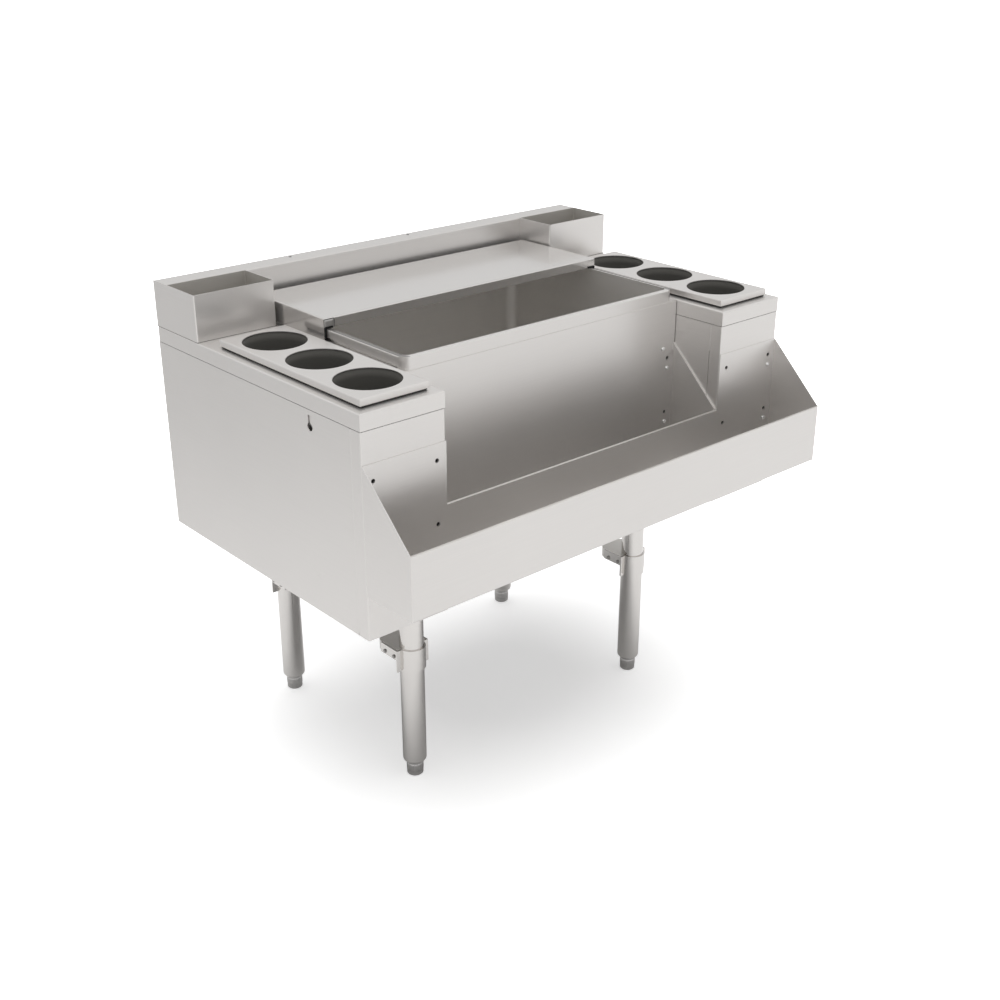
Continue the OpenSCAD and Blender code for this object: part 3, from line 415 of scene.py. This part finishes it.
def painted_light_patches(t):
    """Socket that is near 1 in soft patches on faces which look up, where light is painted."""
    coord = t.nodes.new("ShaderNodeTexCoord")
    patches = t.nodes.new("ShaderNodeTexNoise")
    patches.inputs["Scale"].default_value = PATCH_SCALE
    patches.inputs["Detail"].default_value = 1.0
    t.links.new(coord.outputs["Object"], patches.inputs["Vector"])
    past = tree_math(t, "SUBTRACT", patches.outputs["Fac"], PATCH_START)
    patch = tree_math(t, "MULTIPLY", past, PATCH_FADE, clamp=True)
    return tree_math(t, "MULTIPLY", patch, facing_up(t))


def cover_back_shade(t):
    """Socket that is 1 along the back edge of the cover, where the shade of the gap is painted."""
    past = tree_math(t, "SUBTRACT", object_axis(t, "Y"), COVER_SHADE_Y)
    return tree_math(t, "MULTIPLY", past, COVER_SHADE_FADE, clamp=True)


# the cover's back edge gets a painted shade: the dark line of the gap to the backsplash
cover_steel = masked_steel("cover_steel", (0.660, 0.643, 0.628), (0.17, 0.16, 0.155),
                           cover_back_shade, roughness=0.17)
# the rim's side tops are painted dark grey: painted shade under the cover
rim_shaded_steel = masked_steel("rim_shaded_steel", SATIN, (0.24, 0.23, 0.22), rim_shade_mask)
# the rail's floor gets painted light: a lighter colour in patches on faces that look up
trough_steel = masked_steel("trough_steel", SATIN, (0.87, 0.85, 0.83), painted_light_patches)
# the brackets' top faces get painted light: lighter than their sides, though they lie in shade
bracket_steel = masked_steel("bracket_steel", (0.66, 0.64, 0.62), (0.80, 0.78, 0.75),
                             facing_up)
print("4 masked steels")

# %% Give every CAD node its finish
finish_of = {name: sheet_x for name in nodes}
for name in nodes:
    for endings, finish in (
        (("side_panel", "inner_panel", "_riser", "_end"), sheet_y),
        ("_brackets", bracket_steel),
        (("_leg", "foot_inserts", "leg_clamps"), tube_steel),
        ("_foot", foot_steel),
        (("_screw", "_screws"), screw_steel),
        ("_glide", black_plastic),
        ("_well", well_plastic),
    ):
        if name.endswith(endings):
            finish_of[name] = finish
finish_of.update({
    "bin_insulation": foam, "drain_gasket": gasket_rubber, "drain_nut": brass,
    "leg_sockets": plated, "socket_set_screws": plated, "bracket_screws": black_screw,
    "sliding_cover": cover_steel, "bin_base_panel": under_shaded_steel, "bin_rim": rim_shaded_steel,
    "outer_rail": trough_steel, "backsplash": splash_steel, "bin_front_panel": streaked_steel,
    "bin_liner": liner_steel, "liner_left_end": liner_steel, "liner_right_end": liner_steel,
    "left_floor_panel": under_shaded_steel, "right_floor_panel": under_shaded_steel,
})
for name, obj in nodes.items():
    obj.data.materials.clear()
    obj.data.materials.append(finish_of[name])
print(len(nodes), "CAD nodes finished")

# %% [markdown]
# ## Grids, sweeps and turned pieces
# Each fine piece below is a grid of points worked out at once with numpy: rows run one way
# over the surface and columns the other. `surface` joins such a grid into a mesh, wraps it
# where it closes on itself, and lets poles and seams grow together. `sweep` carries a profile
# along a path: for every point of the path it adds the profile's width along the sideways
# direction and its height along the upright one. Seals, weld beads and rolled edges are all
# sweeps; `turned` makes sleeves, foot grips and spot welds from a radius and a height that
# are turned round an axis.

# %% Surface, sweep and turned piece
MM = 0.001
WELD = 0.002 * MM
CIRCLE = np.linspace(0, 2 * np.pi, 12, endpoint=False)
UP = (0, 0, 1)


def surface(name, points, wrap_rows=False, wrap_cols=False, caps=False, closed=True):
    """Mesh over points[row, column, xyz]; a closed one gets its faces turned outwards."""
    rows, cols = points.shape[:2]
    i, j = np.meshgrid(
        np.arange(rows if wrap_rows else rows - 1),
        np.arange(cols if wrap_cols else cols - 1), indexing="ij",
    )
    i2, j2 = (i + 1) % rows, (j + 1) % cols
    quads = np.stack([i * cols + j, i * cols + j2, i2 * cols + j2, i2 * cols + j], axis=-1)
    faces = quads.reshape(-1, 4).tolist()
    if caps:
        faces.append(list(range(cols))[::-1])
        faces.append(list(range((rows - 1) * cols, rows * cols)))
    mesh = bpy.data.meshes.new(name)
    mesh.from_pydata(points.reshape(-1, 3).tolist(), [], faces)
    work = bmesh.new()
    work.from_mesh(mesh)
    bmesh.ops.remove_doubles(work, verts=work.verts, dist=WELD)
    if closed:
        bmesh.ops.recalc_face_normals(work, faces=work.faces)
    work.to_mesh(mesh)
    work.free()
    mesh.polygons.foreach_set("use_smooth", np.ones(len(mesh.polygons), dtype=bool))
    obj = bpy.data.objects.new(name, mesh)
    bpy.context.scene.collection.objects.link(obj)
    return obj


def sweep(name, path, profile, up, ring=False):
    """Closed profile[side, up] in metres carried along path[xyz]; ring joins the path's ends."""
    path, profile, up = (np.asarray(v, float) for v in (path, profile, up))
    if ring:
        along = np.roll(path, -1, axis=0) - np.roll(path, 1, axis=0)
    else:
        along = np.gradient(path, axis=0)
    along /= np.linalg.norm(along, axis=1, keepdims=True)
    side = np.cross(along, up)
    side /= np.linalg.norm(side, axis=1, keepdims=True)
    height = np.cross(side, along)
    points = (
        path[:, None, :] + profile[None, :, :1] * side[:, None, :]
        + profile[None, :, 1:] * height[:, None, :]
    )
    return surface(name, points, wrap_rows=ring, wrap_cols=True, caps=not ring)


def turned(name, radius, height, centre, axis="Z", ripple=None, sides=32):
    """Profile of radius and height turned round an axis through centre; ripple, a function of
    the angle, adds to the radius."""
    radius, height = np.asarray(radius, float)[:, None], np.asarray(height, float)[:, None]
    angle = np.linspace(0, 2 * np.pi, sides, endpoint=False)[None, :]
    if ripple is not None:
        radius = radius + ripple(angle) * (radius > 0)
    across, up_side = radius * np.cos(angle), radius * np.sin(angle)
    along = height + 0 * angle
    order = {"Z": (across, up_side, along), "Y": (up_side, along, across),
             "X": (along, across, up_side)}[axis]
    return surface(name, np.stack(order, axis=-1) + np.asarray(centre), wrap_cols=True)


def round_profile(radius):
    """Small circle to carry along a path."""
    return radius * np.stack([np.cos(CIRCLE), np.sin(CIRCLE)], axis=1)


def dress(obj, body, material):
    """Material, body and material slot of a new piece."""
    obj.data.materials.append(material)
    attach(obj, body)
    return obj


def rounded_loop(x0, x1, y0, y1, z, r, steps=8):
    """Loop of points round a rectangle with quarter circles of radius r at its corners."""
    quarter = np.repeat(np.arange(4), steps)
    turn = (quarter + np.tile(np.linspace(0, 1, steps), 4)) * np.pi / 2
    cx = np.where(np.isin(quarter, (0, 3)), x1 - r, x0 + r)
    cy = np.where(quarter < 2, y1 - r, y0 + r)
    return np.stack([cx + r * np.cos(turn), cy + r * np.sin(turn), np.full(turn.shape, z)], 1)


def loops_surface(name, loops, closed=True):
    """Skin over a stack of loops that all have the same number of points."""
    return surface(name, np.stack(loops), wrap_cols=True, closed=closed)


print("surface, sweep and turned are ready")

# %% [markdown]
# ## Painted shade under the bottle inserts
# Each insert is a folded steel lid that stands 3 mm clear of the deck. A round black ring
# under its edge fills the gap with painted shade: it draws the dark line that runs all round
# it. It is a circle carried round a loop with rounded corners, and it lifts off with the insert.

# %% Painted shade rings under the inserts
SHADE_RING_RADIUS = 1.35 * MM
SHADE_RING_INSET = SHADE_RING_RADIUS + 0.8 * MM
for side in ("left", "right"):
    lo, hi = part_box(f"{side}_bottle_insert")
    loop = rounded_loop(lo[0] + SHADE_RING_INSET, hi[0] - SHADE_RING_INSET, lo[1] + SHADE_RING_INSET,
                        hi[1] - SHADE_RING_INSET, lo[2] - SHADE_RING_RADIUS, 3 * MM)
    # black ring in the gap under the insert: painted shade
    shade_ring = sweep(f"{side}_insert_shade_ring", loop, round_profile(SHADE_RING_RADIUS), UP, ring=True)
    dress(shade_ring, f"{side}_insert", gasket_rubber)
    print(shade_ring.name, "round", round(float(hi[0] - lo[0]), 4), "by", round(float(hi[1] - lo[1]), 4))

# %% [markdown]
# ## Bottle sleeves
# Through each hole one sees the inside of a sleeve that keeps the bottle upright in its well.
# The sleeve is a thin cup, slightly narrower downwards: a radius and a height turned round
# the hole's axis, up the inside and down the outside. It stands in the well, so it stays
# when the insert is lifted off.

# %% Sleeves below the holes
SLEEVE_R = 51.6 * MM
SLEEVE_TAPER = 1.5 * MM
SLEEVE_WALL = 0.3 * MM
SLEEVE_FLOOR = 0.8 * MM
SLEEVE_DROP = 1.7 * MM
SLEEVE_LIFT = 2.5 * MM
HOLE_PITCH = 122 * MM
down = np.linspace(0, 1, 18)
sleeve_r = SLEEVE_R - SLEEVE_TAPER * down
wall_r = np.concatenate([[0], sleeve_r[::-1], sleeve_r + SLEEVE_WALL, [0]])
for side in ("left", "right"):
    lo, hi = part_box(f"{side}_bottle_insert")
    top, bottom = hi[2] - SLEEVE_DROP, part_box(f"{side}_bottle_well")[0][2] + SLEEVE_LIFT
    mid_x, mid_y = (lo[0] + hi[0]) / 2, (lo[1] + hi[1]) / 2
    inner_z = top - (top - bottom) * down
    outer_z = inner_z - SLEEVE_FLOOR * down
    wall_z = np.concatenate([[bottom], inner_z[::-1], outer_z, [bottom - SLEEVE_FLOOR]])
    for n in (-1, 0, 1):
        sleeve = turned(f"{side}_sleeve_{n + 2}", wall_r, wall_z,
                        (mid_x, mid_y + n * HOLE_PITCH, 0), sides=48)
        dress(sleeve, "unit", well_plastic)
print("6 sleeves,", round(float(top - bottom), 4), "deep")

# %% [markdown]
# ## Dark inside of the risers
# The boxes beside the backsplash are polished outside only. Inside, the sheet keeps its dull
# mill finish, which swallows the light that falls in. A lining that stands a third of a
# millimetre off the walls gives the inside that finish and leaves the bright cut edge of the
# walls at the top. It is a stack of loops: down the walls, then inwards over the floor.

# %% Riser linings
WALL = 1.2 * MM
OFF = 0.35 * MM
LINING_R = 2 * MM
FLOOR_SHARES = (0.98, 0.6, 0.0)
splash_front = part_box("backsplash")[0][1]
for side in ("left", "right"):
    lo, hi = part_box(f"{side}_riser")
    x0, x1 = lo[0] + WALL + OFF, hi[0] - WALL - OFF
    y0, y1 = lo[1] + WALL + OFF, splash_front - OFF
    floor_z, top_z = lo[2] + OFF, hi[2] - OFF
    levels = np.linspace(top_z, floor_z + LINING_R, 6)
    loops = [rounded_loop(x0, x1, y0, y1, z, LINING_R) for z in levels]
    mid = np.array([(x0 + x1) / 2, (y0 + y1) / 2, floor_z])
    outline = rounded_loop(x0, x1, y0, y1, floor_z, LINING_R)
    loops += [mid + (outline - mid) * share for share in FLOOR_SHARES]
    lining = loops_surface(f"{side}_riser_lining", loops, closed=False)
    dress(lining, "unit", mill_finish)
    print(lining.name, "depth", round(float(top_z - floor_z), 4))

# %% [markdown]
# ## Sealant round the risers
# Where a riser stands on the deck the joint is filled, and the filler has darkened. It is a
# bead of less than a millimetre carried round the three open sides of the box.

# %% Riser base lines
SEALANT_RADIUS = 0.42 * MM
for side in ("left", "right"):
    lo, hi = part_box(f"{side}_riser")
    z = lo[2] + 0.25 * MM
    corner_points = np.array([(lo[0], hi[1] - 2 * MM), (lo[0], lo[1]), (hi[0], lo[1]),
                              (hi[0], splash_front - MM)])
    t = np.linspace(0, 3, 121)
    stretch = np.minimum(t.astype(int), 2)
    start, end = corner_points[stretch], corner_points[stretch + 1]
    path = np.column_stack([start + (t - stretch)[:, None] * (end - start), np.full(len(t), z)])
    line = sweep(f"{side}_riser_sealant", path, round_profile(SEALANT_RADIUS), UP)
    dress(line, "unit", old_sealant)
print("sealant round both risers")

# %% [markdown]
# ## Rounded corners of the ice bin
# The bin is scrubbed out every night, so its upright corners are coved: a quarter circle of
# 20 mm joins the back and front walls to the end walls. Each catches a soft upright strip of
# light between the two dark walls. The cove is a quarter circle carried straight down.

# %% Liner coves
COVE_R = 20 * MM
lo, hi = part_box("bin_liner")
floor_top = lo[2] + 3 * MM
quarter = np.linspace(0, np.pi / 2, 14)
heights = np.linspace(floor_top, hi[2] - 2.5 * MM, 12)[:, None]
for tag_x, x_wall, sx in (("left", lo[0] + 0.2 * MM, 1), ("right", hi[0] - 0.2 * MM, -1)):
    for tag_y, y_wall, sy in (("front", lo[1] + WALL + 0.3 * MM, 1),
                              ("rear", hi[1] - WALL - 0.3 * MM, -1)):
        cove_x = x_wall + sx * COVE_R * (1 - np.sin(quarter))
        cove_y = y_wall + sy * COVE_R * (1 - np.cos(quarter))
        points = np.stack(np.broadcast_arrays(cove_x, cove_y, heights), axis=-1)
        if sx * sy < 0:
            points = points[:, ::-1]
        cove = surface(f"liner_cove_{tag_x}_{tag_y}", points, closed=False)
        dress(cove, "unit", liner_steel)
print("coves from", round(float(floor_top), 4), "to", round(float(hi[2]), 4))

# %% [markdown]
# ## Rolled edge of the rim
# The rim's inner edge is rolled tight so that nobody cuts a hand on it. From above it is a
# thin bright line all round the opening. A small circle runs round the loop just under the
# top face, low enough for the cover's glides to pass over it.

# %% Rim edge
EDGE_RADIUS = 0.8 * MM
OPENING_R = 12 * MM
rim_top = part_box("bin_rim")[1][2]
opening = rounded_loop(lo[0] - 0.1 * MM, hi[0] + 0.1 * MM, lo[1] + 0.9 * MM, hi[1] - 1.5 * MM,
                       rim_top - EDGE_RADIUS - 0.1 * MM, OPENING_R, steps=14)
rim_edge = sweep("rim_rolled_edge", opening, round_profile(EDGE_RADIUS), UP, ring=True)
dress(rim_edge, "unit", sheet_x)
print("rolled edge", round(float(hi[0] - lo[0]), 4), "by", round(float(hi[1] - lo[1]), 4))

# %% [markdown]
# ## Ground seams of the cabinets
# Beside each front fold a seam is tacked and ground nearly flush. What is left is a flat bead
# a couple of millimetres wide, which shows as a faint light line instead of a gap. Its
# profile is a shallow arc, and a slow wave in its height is the mark of the hand grinder.

# %% Seam beads
BEAD_WIDTH = 2.2 * MM
BEAD_HEIGHT = 0.3 * MM
BEAD_ROOT = 0.4 * MM
BEAD_WAVE = 0.05 * MM
BEAD_WAVE_RADIANS = 31.0
t = np.linspace(-1, 1, 7)
arc = np.stack([t * BEAD_WIDTH / 2, BEAD_HEIGHT * (1 - t * t)], axis=1)
root = np.array([[BEAD_WIDTH / 2, -BEAD_ROOT], [-BEAD_WIDTH / 2, -BEAD_ROOT]])
bead_profile = np.concatenate([arc, root])


def seam_bead(name, start, end, outward):
    """Bead from start to end whose arc faces outward."""
    t = np.linspace(0, 1, 40)[:, None]
    path = np.asarray(start) * (1 - t) + np.asarray(end) * t
    path = path + np.asarray(outward) * BEAD_WAVE * np.sin(BEAD_WAVE_RADIANS * t)
    bead = sweep(name, path, bead_profile, outward)
    return dress(bead, "unit", sheet_z)


panel_lo, panel_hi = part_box("left_side_panel")
seam_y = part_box("left_front_panel")[1][1] + 0.4 * MM
rail_lo, rail_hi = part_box("inner_rail_left_end")
inner_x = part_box("left_front_panel")[1][0]
low, high = panel_lo[2] + MM, panel_hi[2] - MM
for side, sign in (("left", 1), ("right", -1)):
    outer, inner = sign * panel_lo[0], sign * inner_x
    for tag, x, z0, z1, face in (("outer_seam", outer, low, high, -sign),
                                 ("inner_seam_low", inner, low, rail_lo[2] - MM, sign),
                                 ("inner_seam_top", inner, rail_hi[2] + MM, high, sign)):
        seam_bead(f"{side}_{tag}", (x, seam_y, z0), (x, seam_y, z1), (face, 0, 0))
print("seams at y", round(float(seam_y), 4))

# %% [markdown]
# ## Cups behind the keyholes and mounting holes
# Open holes in sheet metal are never simply black. Behind each keyhole sits a pressed cup that
# falls away downwards, so the slot looks lighter than the round hole below it. Behind each
# mounting hole of a cabinet sits a threaded insert, coloured near black as painted shade for the
# hole's depth. The bin has foam behind its front: a shallow black disc paints each hole's shade.

# %% Keyhole cups
KEY_Y, KEY_Z = -105 * MM, 703 * MM
KEY_HALF_WIDTH = 11 * MM
KEY_HALF_HEIGHT = 20 * MM
CUP_LIP = 0.8 * MM
CUP_FALL = 9.0 * MM
FALL_START = 0.15
across, upward = np.meshgrid(np.linspace(-1, 1, 13), np.linspace(-1, 1, 17))
fall = np.clip(FALL_START - upward, 0, 1) ** 1.5
depth = (CUP_LIP + CUP_FALL * fall) * (1 - 0.9 * across ** 8)
for side, sign in (("left", 1), ("right", -1)):
    wall_x = sign * (panel_hi[0] + 0.05 * MM)
    points = np.stack([wall_x + sign * depth, KEY_Y + KEY_HALF_WIDTH * across,
                       KEY_Z + KEY_HALF_HEIGHT * upward], axis=-1)
    if sign > 0:
        points = points[:, ::-1]
    cup = surface(f"{side}_keyhole_cup", points, closed=False)
    dress(cup, "unit", sheet_y)
print("keyhole cup depth", round(float(depth.max()), 4))

# %% Threaded inserts
HOLE_R = 3.45 * MM
CABINET_HOLES = (-439.2, -324.2, 324.2, 439.2)
BIN_HOLES = (-288.2, 288.2)
HOLE_ZS = (547 * MM, 649 * MM)
NUT_R = 4.8 * MM
NUT_DEPTH = 7 * MM
NUT_WALL = 0.5 * MM
NUT_SETBACK = 1.3 * MM
THREAD_DEPTH = 0.25 * MM
THREAD_TURNS = 6
front_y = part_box("left_front_panel")[0][1]
bin_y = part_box("bin_front_panel")[0][1]
turns = np.linspace(0, 1, 25)
bore_depth = turns * NUT_DEPTH
bore_radius = HOLE_R - THREAD_DEPTH * (0.5 - 0.5 * np.cos(2 * np.pi * THREAD_TURNS * turns))
nut_radius = np.concatenate([[0], bore_radius[::-1], [NUT_R, NUT_R, 0]])
nut_end = NUT_DEPTH + NUT_WALL
nut_depth = np.concatenate([[NUT_DEPTH], bore_depth[::-1], [0, nut_end, nut_end]])
for x in CABINET_HOLES:
    for z in HOLE_ZS:
        nut = turned(f"rail_insert_{'l' if x < 0 else 'r'}{abs(int(x))}_{int(z * 1000)}",
                     nut_radius, front_y + NUT_SETBACK + nut_depth,
                     (x * MM, 0, z), axis="Y", sides=20)
        # near-black insert: painted shade in the cabinet's mounting hole
        dress(nut, "unit", dark_metal)
disc_radius = np.array([0, 0.6, 1.0, 1.0, 0]) * HOLE_R
disc_depth = np.array([1.0, 0.9, 0.7, 1.15, 1.15]) * MM
for x in BIN_HOLES:
    for z in HOLE_ZS:
        hole_shade_disc = turned(f"bin_hole_shade_{'l' if x < 0 else 'r'}_{int(z * 1000)}",
                      disc_radius, bin_y + disc_depth, (x * MM, 0, z), axis="Y", sides=20)
        # black disc: painted shade in the bin's hole
        dress(hole_shade_disc, "unit", dark_metal)
print("8 threaded inserts and 4 discs")

# %% [markdown]
# ## Screw heads
# The rail is held by pan head screws with a cross recess. The head is a dome; the cross is
# pressed into it by lowering the dome wherever the point is near one of two diameters.

# %% Rail screw domes
HEAD_R = 3.5 * MM
HEAD_HEIGHT = 1.1 * MM
HEAD_SINK = 0.15 * MM
CROSS_DEPTH = 1.0 * MM
CROSS_WIDTH = 0.16
CROSS_REACH = 0.62
CROSS_FADE = 0.2
TURN_STEP = 0.4
CABINET_SCREWS = (439.2, -232.2)
BIN_SCREWS = (288.2, -126.2)
GUSSET_SCREWS = (275.2, -126.2)
ring, angle = np.meshgrid(np.linspace(0, 1, 13), np.linspace(0, 2 * np.pi, 48, endpoint=False),
                          indexing="ij")
dome = HEAD_HEIGHT * np.sqrt(np.clip(1 - ring ** 2, 0, 1))
near_arm = np.minimum(np.abs(np.sin(angle)), np.abs(np.cos(angle))) * ring
cross = np.clip(1 - near_arm / CROSS_WIDTH, 0, 1)
cross *= np.clip((CROSS_REACH - ring) / CROSS_FADE, 0, 1)
head = dome - CROSS_DEPTH * cross
screw_places = [(side * x, y, z)
                for (x, y), zs in ((CABINET_SCREWS, (529, 631)), (BIN_SCREWS, (529, 631)),
                                   (GUSSET_SCREWS, (668.5,)))
                for side in (-1, 1) for z in zs]
for n, (x, y, z) in enumerate(screw_places):
    turned_by = angle + TURN_STEP * n
    points = np.stack([
        x * MM + HEAD_R * 0.98 * ring * np.sin(turned_by),
        y * MM + HEAD_SINK - head,
        z * MM + HEAD_R * 0.98 * ring * np.cos(turned_by),
    ], axis=-1)
    dome_piece = surface(f"rail_screw_dome_{n}", points, wrap_cols=True, closed=False)
    dress(dome_piece, "unit", screw_steel)
print(len(screw_places), "screw heads")

# %% [markdown]
# ## Corner tab of the cover
# At the left end of the cover's front edge the side skirt is folded round and tacked over it.
# The tab is a thin plate with rounded corners, and the shadow line round it is painted shade: a
# thin black frame under its edge. Below it the black glide can be seen, hooked under the rim.

# %% Cover tab
TAB_THICK = 0.8 * MM
TAB_R = 1.6 * MM
SHADE_FRAME_THICK = 0.3 * MM
SHADE_FRAME_R = 1.8 * MM
cover_lo, cover_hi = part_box("sliding_cover")


def rounded_plate(name, x0, x1, z0, z1, y, thickness, r):
    """Plate in an upright plane with a softened front edge; it stands forward from y."""
    mid = np.array([(x0 + x1) / 2, 0.0, (z0 + z1) / 2])
    flat = rounded_loop(x0, x1, z0, z1, 0.0, r)[:, [0, 2, 1]]
    steps = [(1.0, 0.0), (1.0, -0.6), (0.97, -1.0), (0.5, -1.0), (0.0, -1.0)]
    loops = [mid + (flat - mid) * k + np.array([0, y + d * thickness, 0]) for k, d in steps]
    return loops_surface(name, [loops[0] * 0 + mid + np.array([0, y, 0])] + loops)


x0, x1 = cover_lo[0] + 0.6 * MM, cover_lo[0] + 19.5 * MM
z0, z1 = cover_hi[2] - 16.2 * MM, cover_hi[2] - 3.0 * MM
tab = rounded_plate("left_cover_tab", x0, x1, z0, z1, cover_lo[1], TAB_THICK, TAB_R)
dress(tab, "cover", tab_steel)
# black frame round the tab: painted shade along its edge
tab_shade_frame = rounded_plate("left_cover_tab_line", x0 - 0.4 * MM, x1 + 1.2 * MM,
                         z0 - 0.3 * MM, z1 + 1.2 * MM, cover_lo[1], SHADE_FRAME_THICK, SHADE_FRAME_R)
dress(tab_shade_frame, "cover", gasket_rubber)
print("tab at", round(float(cover_lo[1]), 4))

# %% [markdown]
# ## Feet
# Each foot screws up into its leg. Its waist is fluted for the fingers or a strap wrench, and
# its stem carries a thread that shows only when the foot is let down. The flutes are a cosine
# of the angle added to the radius; the thread is a helix, a wave in height that moves on by
# one pitch for each turn.

# %% Fluted grips and threads
FLUTES = 30
FLUTE_DEPTH = 0.35 * MM
PITCH = 2.0 * MM
STEM_R = 7.97 * MM
THREAD_HEIGHT = 0.14 * MM
THREAD_START, THREAD_END = 28.4 * MM, 76 * MM
grip_heights = np.array([8.0, 8.6, 12.0, 16.0, 20.0, 23.4, 24.0]) * MM
grip_swell = np.array([-0.6, 0.25, 0.45, 0.5, 0.45, 0.25, -0.6]) * MM
a, h = np.meshgrid(np.linspace(0, 2 * np.pi, 24, endpoint=False),
                   np.linspace(THREAD_START, THREAD_END, 190))
thread_r = STEM_R + THREAD_HEIGHT * (0.5 + 0.5 * np.cos(2 * np.pi * h / PITCH - a))


def flutes(angle):
    """Change of the grip's radius that cuts the flutes."""
    return -FLUTE_DEPTH * (0.5 + 0.5 * np.cos(FLUTES * angle))


for corner in ("front_left", "front_right", "rear_left", "rear_right"):
    lo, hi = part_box(f"{corner}_foot")
    cx, cy = (lo[0] + hi[0]) / 2, (lo[1] + hi[1]) / 2
    foot_r = (hi[0] - lo[0]) / 2
    body = f"{corner}_foot_body"
    grip = turned(f"{corner}_foot_grip", foot_r + grip_swell, grip_heights, (cx, cy, 0),
                  ripple=flutes, sides=180)
    dress(grip, body, foot_steel)
    points = np.stack([cx + thread_r * np.cos(a), cy + thread_r * np.sin(a), h], axis=-1)
    thread = surface(f"{corner}_foot_thread", points, wrap_cols=True, closed=False)
    dress(thread, body, foot_steel)
print("4 fluted feet with threads of", PITCH, "m pitch")

# %% [markdown]
# ## Spot welds and plugs
# Spot welds leave shallow round dents where a stiffener is joined behind a panel: a low ring
# with a hollow in the middle, turned round an axis. Two plugs with low domed heads close the
# lifting holes in the backsplash's top.

# %% Spot welds and plugs
SIDE_X, SIDE_Y, SIDE_Z = 457.2 * MM, -104.5 * MM, 457.7 * MM
BACK_Y = 335 * MM
BACK_XS = (-430, -306, 306, 430)
BACK_ZS = (440, 560, 680)
PLUG_XS = (-202, 56)
PLUG_Y = 28 * MM
dent_r = np.array([0, 1.0, 1.8, 2.6, 3.4, 3.8, 3.8, 0]) * MM
dent_h = np.array([0.06, 0.08, 0.22, 0.3, 0.14, 0.02, -0.2, -0.2]) * MM
spots = [("left_side", "X", (-SIDE_X, SIDE_Y, SIDE_Z), -1),
         ("right_side", "X", (SIDE_X, SIDE_Y, SIDE_Z), 1)]
spots += [(f"back_{i}_{j}", "Y", (x * MM, BACK_Y, z * MM), 1)
          for i, x in enumerate(BACK_XS) for j, z in enumerate(BACK_ZS)]
for tag, axis, place, sign in spots:
    weld = turned(f"spot_weld_{tag}", dent_r, sign * dent_h, place, axis=axis, sides=24)
    dress(weld, "unit", sheet_z)
plug_r = np.array([0, 1.2, 2.0, 2.6, 2.8, 0]) * MM
plug_h = np.array([0.5, 0.48, 0.4, 0.2, -0.2, -0.2]) * MM
splash_lo, splash_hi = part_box("backsplash")
for n, x in enumerate(PLUG_XS):
    plug = turned(f"splash_plug_{n}", plug_r, plug_h,
                  (x * MM, splash_lo[1] + PLUG_Y, splash_hi[2]), sides=20)
    dress(plug, "unit", dark_metal)
print(len(spots), "spot welds, 2 plugs")

# %% [markdown]
# ## The view transform
# The view transform is Standard, so a colour renders as it is written.

# %% Set the view transform
bpy.context.scene.view_settings.view_transform = "Standard"
